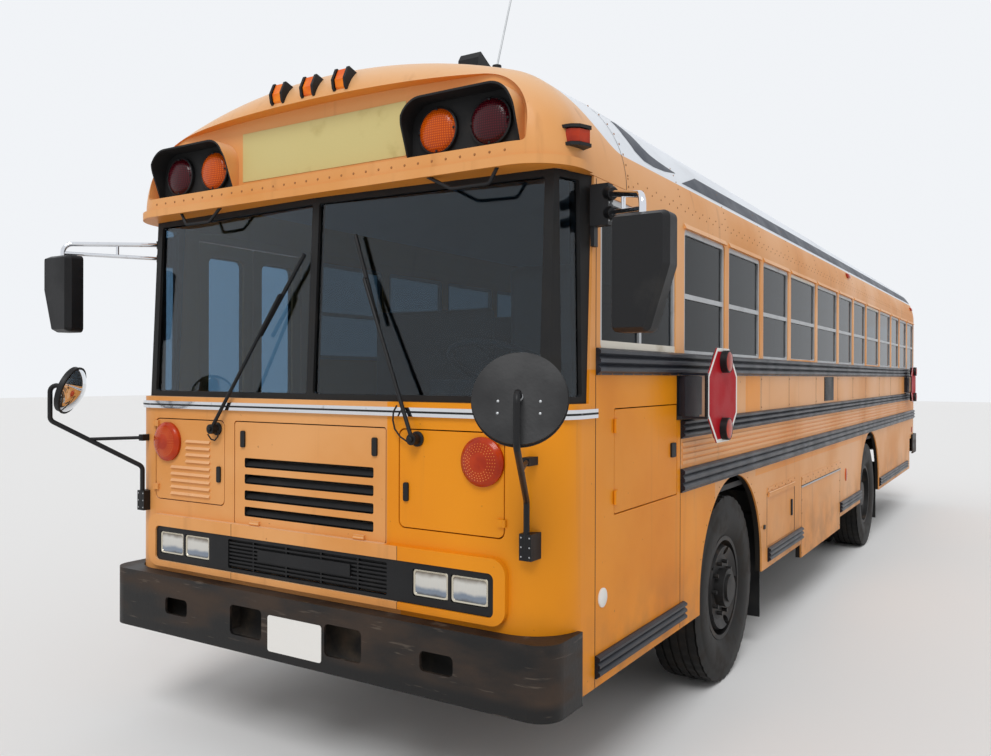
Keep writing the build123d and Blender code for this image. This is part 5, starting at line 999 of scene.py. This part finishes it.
def seams():
    """Dark joints between the body panels."""
    form = Form()
    low, high = RAILS["sill"]
    top = EAVE_Z - 0.005
    for side in SIDES:
        joints = [(FASCIA_REAR, 0.495, low), (FASCIA_REAR, high + 0.003, top), (REAR_SEAM, 0.885, top)]
        joints += [(station, RAILS["seat"][1] + 0.002, low - 0.002) for station in POSTS[1:]]
        if side > 0:
            joints.append((0.0, 0.500, low))
        for station, start, end in joints:
            form.brick((side * (BODY_HALF - 0.001), at(station) - SEAM_WIDE / 2, start),
                       (side * (BODY_HALF + SEAM_OUT), at(station) + SEAM_WIDE / 2, end))
        rows = []
        for number in range(13):
            z = EAVE_Z + CAP_SEAM_HIGH * number / 12
            x = side * (roof_x(z) + SEAM_OUT)
            rows.append([(x, at(CAP_REAR) + along, z) for along in (-0.002, 0.002)])
        form.rows(rows, closed=False)
    form.make("panel_seams", TRIM_BLACK, "body_paint", smooth=80)


def trim_line():
    """The black line along the bright strip under the windshield."""
    form = Form()
    form.rows([[(x, y, z) for x, y in nose_line(TRIM_LINE_OUT)] for z in TRIM_LINE_Z], closed=False)
    form.make("trim_line", GASKET, "rubber", smooth=80)


def blank_sign(name, back, front, low_z):
    sign = Form()
    sign.brick((-SIGN_HALF, back, low_z), (SIGN_HALF, front, low_z + SIGN_HIGH))
    sign.make(name, SIGN_CREAM, "body_paint", bevel=0.0008)


def blank_plate(name, middle, y, way):
    """A plate with its middle at an X and a Z, facing forwards where way is -1."""
    x, z = middle
    loop = rounded(*PLATE_SIZE, 0.012)
    plate = Form()
    plate.stacked([(loop, STAND_OFF), (loop, 0.0022)], lambda u, v, out: (x + u, y + way * out, z + v))
    plate.make(name, SIGN_WHITE, "bright_trim")


def front_signs():
    """The blank sign over the windshield and the blank plate on the bumper."""
    pocket_y = FRONT_Y + POCKET_DEPTH
    blank_sign("blank_sign", pocket_y - STAND_OFF, pocket_y - 0.0025, FRONT_SIGN_Z)
    blank_plate("blank_plate", FRONT_PLATE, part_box("bumpers")[0].y, -1)


def stop_signs():
    """White borders and the lamps' lenses and housings on both faces of the blank stop signs."""
    border_profile = [(STOP_SIZE, 0.0), (STOP_SIZE - 0.002, 0.0008), (STOP_SIZE - 0.030, 0.0008),
                      (STOP_SIZE - 0.032, 0.0)]
    for end in ENDS:
        node = "stop_sign_" + end
        low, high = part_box(node)
        y = high.y - STOP_SIZE / 2
        z = (low.z + high.z) / 2
        border = Form()
        housings = Form()
        lenses = Form()
        for side in SIDES:
            x = (low.x + high.x) / 2 + side * 0.0030
            levels = [(circle(size / 2 / math.cos(math.pi / 8), 8, math.pi / 8), out)
                      for size, out in border_profile]
            border.stacked(levels, lambda u, v, out: (x + side * out, y + u, z + v), caps=False)
            for up in (-STOP_LAMP_UP, STOP_LAMP_UP):
                centre = (x, y, z + up)
                housings.turned([(0.054, 0.0), (0.054, 0.031), (0.051, 0.033), (0.049, 0.0312)],
                                centre, (side, 0, 0), 28)
                lenses.turned([(0.047, 0.0302), (0.047, 0.0325), (0.036, 0.0355), (0.016, 0.0372),
                               (0.002, 0.0376)], centre, (side, 0, 0), 28)
        border.make("stop_border_" + end, SIGN_WHITE, "sign_red", node)
        housings.make("stop_lamp_housings_" + end, TRIM_BLACK, "black_plastic", node)
        lenses.make("stop_lamp_lenses_" + end, MARKER_RED, "lamp_red", node)


# Side walls

def driver_strips(name, material, slot, strips):
    """A piece of flat strips on the driver's side, as stations, heights and distances out."""
    form = Form()
    for stations, heights, out in strips:
        form.strip(1, stations, heights, out)
    form.make(name, material, slot)


def vent_patch():
    """A plate with seven louvres."""
    strips = [(*VENT_PLATE, 0.003)]
    for z in [LOUVRE_FIRST_Z + LOUVRE_PITCH * number for number in range(7)]:
        strips.append((LOUVRE_STATIONS, (z, z + 0.008), 0.006))
    driver_strips("vent_patch", TRIM_BLACK, "black_metal", strips)


def panel_flanges():
    """Flanges over the fuel panel and the battery door, and bolts in them and round the wheel arches."""
    flanges = Form()
    bolts = Form()
    for (start, end), low, high in ((FUEL_PANEL, 0.912, 0.972), (BATTERY_DOOR, 0.966, 0.992)):
        flanges.strip(1, (start, end), (low, high), 0.0035)
        count = int((end - start) / 0.085)
        for number in range(count + 1):
            station = start + 0.015 + (end - start - 0.03) * number / count
            z = low + (0.25 if number % 2 else 0.75) * (high - low)
            bolts.rivet((BODY_HALF + 0.0035, at(station), z), (1, 0, 0))
    for station in (FUEL_PANEL[0] + 0.018, FUEL_PANEL[1] - 0.018):
        for number in range(6):
            bolts.rivet((BODY_HALF, at(station), 0.430 + number * 0.094), (1, 0, 0))
    for side in SIDES:
        for station in AXLES:
            for number in range(17):
                angle = math.radians(20 + number * 140 / 16)
                z = ARCH_Z + ARCH_RADIUS * math.sin(angle)
                if z < RAILS["floor"][0] - 0.015:
                    spot = (side * BODY_HALF, at(station) + ARCH_RADIUS * math.cos(angle), z)
                    bolts.rivet(spot, (side, 0, 0), 0.0045)
    flanges.make("panel_flanges", PAINT, "body_paint")
    bolts.make("panel_bolts", FIXING, "body_paint")


def panel_lines():
    """Gaps beside the battery door and the fuel panel, and the strips along the fuel panel's top."""
    gaps = []
    for station in (BATTERY_DOOR[0] - 0.002, BATTERY_DOOR[1] + 0.001):
        gaps.append(((station - 0.003, station + 0.003), (0.622, 0.956), 0.0006))
    for station in FUEL_PANEL:
        gaps.append(((station - 0.002, station + 0.002), (0.400, 0.972), 0.0006))
    driver_strips("panel_gaps", TRIM_BLACK, "black_metal", gaps)
    driver_strips("fuel_panel_strip", SASH, "window_alloy", [(FUEL_PANEL, (0.896, 0.906), 0.006)])
    driver_strips("panel_lines", TRIM_BLACK, "black_metal",
                  [(FUEL_PANEL, (0.906, 0.912), 0.004), ((1.460, 1.490), (0.748, 0.772), 0.008)])


def side_reflectors():
    """Oval and round reflectors on the walls, and the rear marker lamps on the roof's edge."""
    amber = Form()
    red = Form()
    white = Form()
    ovals = [
        # form, station, Z, width, height, sides
        (amber, 4.141, 0.830, 0.060, 0.110, SIDES),
        (red, 8.780, 0.990, 0.075, 0.075, SIDES),
        (white, -0.861, 0.828, 0.075, 0.075, (1,)),
    ]
    for form, station, z, wide, high, sides in ovals:
        loop = [(u * wide, v * high) for u, v in circle(0.5, 20)]
        for side in sides:
            form.stacked(scaled(loop, [(1.0, 0.0), (1.0, 0.0048), (0.82, 0.008)]),
                         lambda u, v, out: (side * (BODY_HALF + out), at(station) + u, z + v))
    z = 2.582
    for side in SIDES:
        for station in (4.290, 8.760):
            red.stacked(scaled(rounded(0.100, 0.040, 0.012), [(1.0, 0.0), (1.0, 0.014), (0.7, 0.022)]),
                        lambda u, v, out: (side * (roof_x(z + v) + out), at(station) + u, z + v))
    amber.make("side_reflectors_amber", AMBER, "lamp_amber")
    red.make("side_reflectors_red", MARKER_RED, "lamp_red")
    white.make("side_reflector_white", SIGN_WHITE, "lamp_clear")


def exit_strips():
    """Fresh paint under the exit windows and a pale band over them."""
    strips = Form()
    bands = Form()
    for side in SIDES:
        for number in EXIT_WINDOWS:
            back = (side * (BODY_HALF - 0.006), at(POSTS[number]) + 0.050)
            face = (side * (BODY_HALF - 0.0045), at(POSTS[number + 1]) - 0.030)
            strips.brick((*back, WINDOW_LOW_Z + 0.002), (*face, WINDOW_LOW_Z + 0.020))
            bands.brick((*back, WINDOW_TOP_Z - 0.020), (*face, WINDOW_TOP_Z - 0.003))
    strips.make("exit_strips", FRESH_PAINT, "fresh_paint")
    bands.make("exit_bands", PALE_BAND, "roof_paint")


def driver_sill():
    """The riveted strip under the driver's window."""
    face = BODY_HALF - 0.003
    sill = Form()
    start, end = span(DRIVER_SILL)
    sill.brick((BODY_HALF - 0.0065, start, WINDOW_LOW_Z + 0.001), (face, end, WINDOW_LOW_Z + 0.038))
    for number in range(9):
        for along in (-0.010, 0.010):
            sill.rivet((face, start + 0.040 + number * 0.092 + along, WINDOW_LOW_Z + 0.012), (1, 0, 0), 0.004)
    sill.make("driver_window_sill", PALE_BAND, "window_alloy")


def dark_backings():
    """Painted shade: a dark sheet behind the grille's bars and dark plates behind the bumper's outer holes;
    and a plate behind the front stop arm.
    """
    form = Form()
    low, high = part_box("grille")
    form.brick((-GRILLE_HALF, FRONT_Y - 0.0022, low.z + 0.018),
               (GRILLE_HALF, FRONT_Y - 0.0006, high.z - 0.018))
    for side in SIDES:
        form.brick((side * HOLE_SHADE_XS[0], FRONT_Y + 0.050, HOLE_SHADE_Z[0]),
                   (side * HOLE_SHADE_XS[1], FRONT_Y + 0.058, HOLE_SHADE_Z[1]))
    form.make("dark_backings", HOOD_BLACK_AND_SHADE, "black_metal")
    driver_strips("stop_arm_plate", TRIM_BLACK, "black_metal", [(*STOP_ARM_PLATE, 0.003)])


def splash_aprons():
    """Rubber sheets beside the frame rails at each axle, which keep spray off the chassis."""
    form = Form()
    for station in AXLES:
        for side in SIDES:
            form.brick((side * APRON_XS[0], at(station - APRON_HALF), APRON_Z[0]),
                       (side * APRON_XS[1], at(station + APRON_HALF), APRON_Z[1]))
    form.make("splash_aprons", GASKET, "rubber")


# Mirrors, wipers, rubbers and the back

def mirror_fittings():
    """Collars, bolts and lower ears of the mirror clamps, and the screws of the front brackets."""
    collars = Form()
    screws = Form()
    y = at(CLAMP_STATION)
    for x, station, top in MIRRORS:
        side = math.copysign(1, x)
        for z, drop, radius in CLAMP_ARMS:
            root = Vector((side * (BODY_HALF + 0.070), y, z))
            profile = [(radius * 1.35, 0.0), (radius * 1.35, 0.018), (radius, 0.030), (radius, 0.058)]
            collars.turned(profile, root, Vector((x, at(station), top + drop)) - root, 20)
        collars.brick((side * BODY_HALF, y - 0.016, CLAMP_EAR_Z[0]),
                      (side * (BODY_HALF + 0.016), y + 0.016, CLAMP_EAR_Z[1]))
        for z in CLAMP_SCREW_Z:
            for along in (-0.014, 0.014):
                screws.rivet((side * (BODY_HALF + CLAMP_OUT), y + along, z), (side, 0, 0), 0.005)
    for x in BRACKET_XS:
        for u in (-0.017, 0.017):
            for z in BRACKET_SCREW_Z:
                screws.rivet((x + u, FRONT_Y - 0.033, z), (0, -1, 0), 0.0035)
    collars.make("mirror_collars", TRIM_BLACK, "black_metal")
    screws.make("bracket_screws", SASH, "bright_trim")


def wiper_details():
    """Rubber bases, pivot caps and washer hoses on the wipers."""
    for name, x in WIPER_XS.items():
        pivot = (x, FRONT_Y, WIPER_Z)
        form = Form()
        form.turned([(0.030, 0.0), (0.030, 0.006), (0.022, 0.010)], pivot, (0, -1, 0), 24)
        form.turned([(0.011, 0.044), (0.011, 0.052), (0.007, 0.055)], pivot, (0, -1, 0), 12)
        hose = [(x + across, FRONT_Y - out, WIPER_Z + up) for across, out, up in WASHER_HOSES[name]]
        form.tube(hose, 0.0035, 8)
        form.make("wiper_base_" + name, GASKET, "rubber", "front_door_" + name)


def pane_rubber(form, wide, low, high, radius, place):
    """A rubber ring round a pane between two heights."""
    levels = []
    for inset, out in ((-0.010, 0.0), (-0.010, 0.004), (0.006, 0.004), (0.006, -0.010)):
        loop = rounded(wide - 2 * inset, high - low - 2 * inset, max(radius - inset, 0.01))
        levels.append(([(u, (low + high) / 2 + v) for u, v in loop], out))
    form.stacked(levels, place, caps=False)


def glazing_rubbers():
    """Black rubber round the panes of the doors and of the rear wall."""
    for end in ENDS:
        low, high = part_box("entry_glass_" + end)
        middle = (low.y + high.y) / 2
        form = Form()
        for pane in ENTRY_PANES:
            pane_rubber(form, high.y - low.y, *pane, 0.040,
                        lambda u, z, out: (-BODY_HALF + 0.002 - out, middle + u, z))
        form.make("entry_rubber_" + end, GASKET, "rubber", "entry_leaf_" + end)
    form = Form()
    middle_z = (WINDOW_LOW_Z + WINDOW_TOP_Z) / 2
    wide, high = REAR_PANE_SIZE
    for x in REAR_PANE_XS:
        pane_rubber(form, wide, middle_z - high / 2, middle_z + high / 2, 0.060,
                    lambda u, z, out: (x + u, REAR_Y + out, z))
    form.make("rear_rubber", GASKET, "rubber")
    form = Form()
    for pane in REAR_DOOR_PANES:
        pane_rubber(form, REAR_DOOR_PANE_WIDE, *pane, 0.040, lambda u, z, out: (u, REAR_Y - 0.002 + out, z))
    form.make("rear_door_rubber", GASKET, "rubber", "rear_door")


def rear_details():
    """A lever and pull on the rear door, the blank plate and sign, reflectors and the rear wall's rivets."""
    face = REAR_Y - 0.002
    handle = Form()
    handle.turned([(0.030, 0.0), (0.030, 0.012), (0.014, 0.016), (0.012, 0.038)],
                  (0.390, face, 1.725), (0, 1, 0), 24)
    lever = [(0.390, face + 0.034, 1.725), (0.330, face + 0.040, 1.722), (0.250, face + 0.040, 1.715)]
    handle.tube(lever, 0.010)
    bends = ((-0.300, 0.0), (-0.300, 0.045), (0.300, 0.045), (0.300, 0.0))
    handle.tube([(x, face + out, 1.150) for x, out in bends], 0.009)
    handle.make("rear_door_handles", TRIM_BLACK, "black_metal", "rear_door")
    blank_plate("rear_blank_plate", REAR_PLATE, REAR_Y, 1)
    blank_sign("rear_blank_sign", REAR_Y + STAND_OFF, REAR_Y + 0.0028, REAR_SIGN_Z)
    reflectors = Form()
    rivets = Form()
    for side in SIDES:
        centre = (side * 0.720, REAR_Y + STAND_OFF, 0.960)
        reflectors.turned([(0.038, 0.0), (0.038, 0.005), (0.030, 0.008)], centre, (0, 1, 0), 24)
        for number in range(20):
            rivets.rivet((side * 0.500, REAR_Y, 1.080 + number * 0.070), (0, 1, 0), 0.0045)
    reflectors.make("rear_reflectors", MARKER_RED, "lamp_red")
    rivets.make("rear_rivets", FIXING, "body_paint")


def mirror_faces():
    """Bright faces, rims and screws for the mirrors, whose heads keep their form."""
    data = NODES["mirror_heads"].data
    data.materials.append(MIRROR)
    eye = Vector((SEAT_X, at(DRIVER_STATION), 0.0))
    glasses = Form()
    rims = Form()
    screws = Form()
    for x, station, radius in CROSSVIEWS:
        centre = Vector((x, at(station), CROSSVIEW_Z))
        look = Vector((eye.x - centre.x, eye.y - centre.y, 0.0)).normalized()
        out = Vector((look.x, look.y, -0.35)).normalized()
        for face in data.polygons:
            place = Vector(face.center) - centre
            if place.length < radius * 1.3 and place.dot(out) > 0.001:
                face.material_index = 1
        profile = [(0.0, -0.004), (0.004, -0.002), (0.004, 0.003), (-0.003, 0.006)]
        rims.turned([(radius + wider, along) for wider, along in profile], centre, out, 48, caps=False)
        across = out.cross(Vector((0, 0, 1))).normalized()
        up = across.cross(out)
        for u, v in ((-0.44, -0.08), (0.44, -0.08), (-0.44, -0.34), (0.44, -0.34)):
            screws.rivet(centre - out * 0.022 + (across * u + up * v) * radius, -out, 0.005)
        screws.turned([(0.013, 0.0), (0.013, 0.010), (0.009, 0.014)], centre - out * 0.0223, -out, 16)
    outline = [(-0.086, -0.014), (0.086, -0.014), (0.086, -0.180), (0.028, -0.371), (-0.086, -0.371)]
    for x, station, top in MIRRORS:
        side = math.copysign(1, x)
        glasses.stacked([(outline, 0.046), (outline, 0.0472)],
                        lambda u, v, out: (x + side * u, at(station) + out, top + v))
    glasses.make("mirror_glasses", MIRROR, "bright_trim")
    rims.make("mirror_rims", GASKET, "rubber")
    screws.make("mirror_screws", SASH, "bright_trim")


# Seats

def swollen(size, centre, voxel, pressure):
    """A box of foam in its cover: remeshed, blown up as cloth and held near its own form."""
    data = bpy.data.meshes.new("pad")
    form = bmesh.new()
    bmesh.ops.create_cube(form, size=1.0, matrix=Matrix.Diagonal((*size, 1.0)))
    bmesh.ops.bevel(form, geom=form.edges[:], offset=0.022, segments=3, affect="EDGES")
    form.to_mesh(data)
    form.free()
    pad = bpy.data.objects.new("pad", data)
    bpy.context.scene.collection.objects.link(pad)
    remesh = pad.modifiers.new("remesh", "REMESH")
    remesh.mode = "VOXEL"
    remesh.voxel_size = voxel
    settled = bpy.data.meshes.new_from_object(pad.evaluated_get(bpy.context.evaluated_depsgraph_get()))
    pad.modifiers.clear()
    pad.data = settled
    cloth = pad.modifiers.new("cloth", "CLOTH")
    cloth.settings.use_pressure = True
    cloth.settings.uniform_pressure_force = pressure
    cloth.settings.effector_weights.gravity = 0.0
    cloth.settings.quality = 4
    for step in range(1, 21):
        bpy.context.scene.frame_set(step)
    blown = bpy.data.meshes.new_from_object(pad.evaluated_get(bpy.context.evaluated_depsgraph_get()))
    pad.modifiers.clear()
    cap = 0.012
    for before, after in zip(settled.vertices, blown.vertices):
        move = after.co - before.co
        if move.length > cap:
            after.co = before.co + move.normalized() * cap
    pad.data = blown
    bpy.context.scene.frame_set(1)
    points = [vertex.co.copy() for vertex in pad.data.vertices]
    faces = [tuple(face.vertices) for face in pad.data.polygons]
    bpy.data.objects.remove(pad)
    return [point + Vector(centre) for point in points], faces


FOAM_PRESSURE = 4.0
SEAT_FIRST = 0.620
SEAT_PITCH = 0.712
SEAT_ROWS = 12
SEAT_FLOOR_Z = 1.085


def add_copies(form, points, faces, offsets):
    for offset in offsets:
        start = len(form.points)
        form.points.extend(point + Vector(offset) for point in points)
        form.faces.extend(tuple(start + corner for corner in face) for face in faces)


def seats():
    places = []
    for row in range(SEAT_ROWS):
        for side in SIDES:
            places.append((side * SEAT_X, at(SEAT_FIRST + row * SEAT_PITCH), SEAT_FLOOR_Z))
    driver_place = [(SEAT_X, at(DRIVER_STATION), SEAT_FLOOR_Z)]
    pieces = [
        # name, where its copies stand, voxel size, then the size and the middle of each pad
        ("bench_cushions", places, 0.020, [((0.936, 0.366, 0.096), (0.0, -0.285, 0.370))]),
        ("bench_backs", places, 0.020, [((0.936, 0.070, 0.616), (0.0, -0.045, 0.720))]),
        ("driver_seat", driver_place, 0.016, [((0.456, 0.446, 0.096), (0.0, -0.235, 0.460)),
                                              ((0.456, 0.086, 0.686), (0.0, 0.045, 0.795))]),
    ]
    for name, offsets, voxel, pads in pieces:
        form = Form()
        for size, centre in pads:
            points, faces = swollen(size, centre, voxel, FOAM_PRESSURE)
            add_copies(form, points, faces, offsets)
        piece = form.make(name, VINYL, "seat_vinyl", smooth=80)
        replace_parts(piece, "seats")


# Studio

def studio():
    scene = bpy.context.scene
    scene.view_settings.view_transform = "Standard"
    floor_graph = Graph("studio_floor")
    floor_graph.set(Base_Color=(0.80, 0.80, 0.80, 1.0), Roughness=0.9)
    data = bpy.data.meshes.new("studio_floor")
    reach = 60.0
    corners = [(-reach, -reach, 0), (reach, -reach, 0), (reach, reach, 0), (-reach, reach, 0)]
    data.from_pydata(corners, [], [(0, 1, 2, 3)])
    data.materials.append(floor_graph.material)
    floor = bpy.data.objects.new("studio_floor", data)
    scene.collection.objects.link(floor)

    world = bpy.data.worlds.new("studio_world")
    scene.world = world
    world.use_nodes = True
    nodes = world.node_tree.nodes
    light = nodes["Background"]
    light.inputs["Color"].default_value = (1.0, 1.0, 1.0, 1.0)
    light.inputs["Strength"].default_value = 0.62
    shown = nodes.new("ShaderNodeBackground")
    shown.inputs["Color"].default_value = (0.88, 0.90, 0.93, 1.0)
    shown.inputs["Strength"].default_value = 1.0
    path = nodes.new("ShaderNodeLightPath").outputs
    sums = [nodes.new("ShaderNodeMath"), nodes.new("ShaderNodeMath")]
    for made in sums:
        made.operation = "ADD"
        made.use_clamp = True
    mix = nodes.new("ShaderNodeMixShader")
    links = [
        (path["Is Camera Ray"], sums[0].inputs[0]),
        (path["Is Glossy Ray"], sums[0].inputs[1]),
        (sums[0].outputs[0], sums[1].inputs[0]),
        (path["Is Transmission Ray"], sums[1].inputs[1]),
        (sums[1].outputs[0], mix.inputs[0]),
        (light.outputs[0], mix.inputs[1]),
        (shown.outputs[0], mix.inputs[2]),
        (mix.outputs[0], nodes["World Output"].inputs[0]),
    ]
    for start, end in links:
        world.node_tree.links.new(start, end)

    sun_data = bpy.data.lights.new("key_light", "SUN")
    sun_data.energy = 1.5
    sun_data.angle = math.radians(25)
    sun = bpy.data.objects.new("key_light", sun_data)
    scene.collection.objects.link(sun)
    sun.rotation_euler = Vector((0.25, -0.62, 0.78)).to_track_quat("Z", "Y").to_euler()


def camera():
    data = bpy.data.cameras.new("camera")
    data.sensor_fit = "HORIZONTAL"
    data.sensor_width = 36.0
    data.lens = FOCAL_PIXELS / IMAGE_WIDE * data.sensor_width
    data.clip_end = 200.0
    made = bpy.data.objects.new("camera", data)
    bpy.context.scene.collection.objects.link(made)
    made.matrix_world = Matrix.Translation(CAMERA_AT)
    turns = (("Z", CAMERA_AZIMUTH), ("X", math.pi / 2 + CAMERA_PITCH), ("Z", CAMERA_ROLL))
    for axis, angle in turns:
        made.matrix_world = made.matrix_world @ Matrix.Rotation(angle, 4, axis)
    bpy.context.scene.camera = made


studio()
camera()
finish_nodes()
second_finishes()
tyres()
lamps()
turn_lamps()
headlamps()
stripes()
rivets()
seams()
trim_line()
front_signs()
stop_signs()
vent_patch()
panel_flanges()
panel_lines()
side_reflectors()
exit_strips()
driver_sill()
dark_backings()
splash_aprons()
mirror_fittings()
wiper_details()
glazing_rubbers()
rear_details()
mirror_faces()
seats()
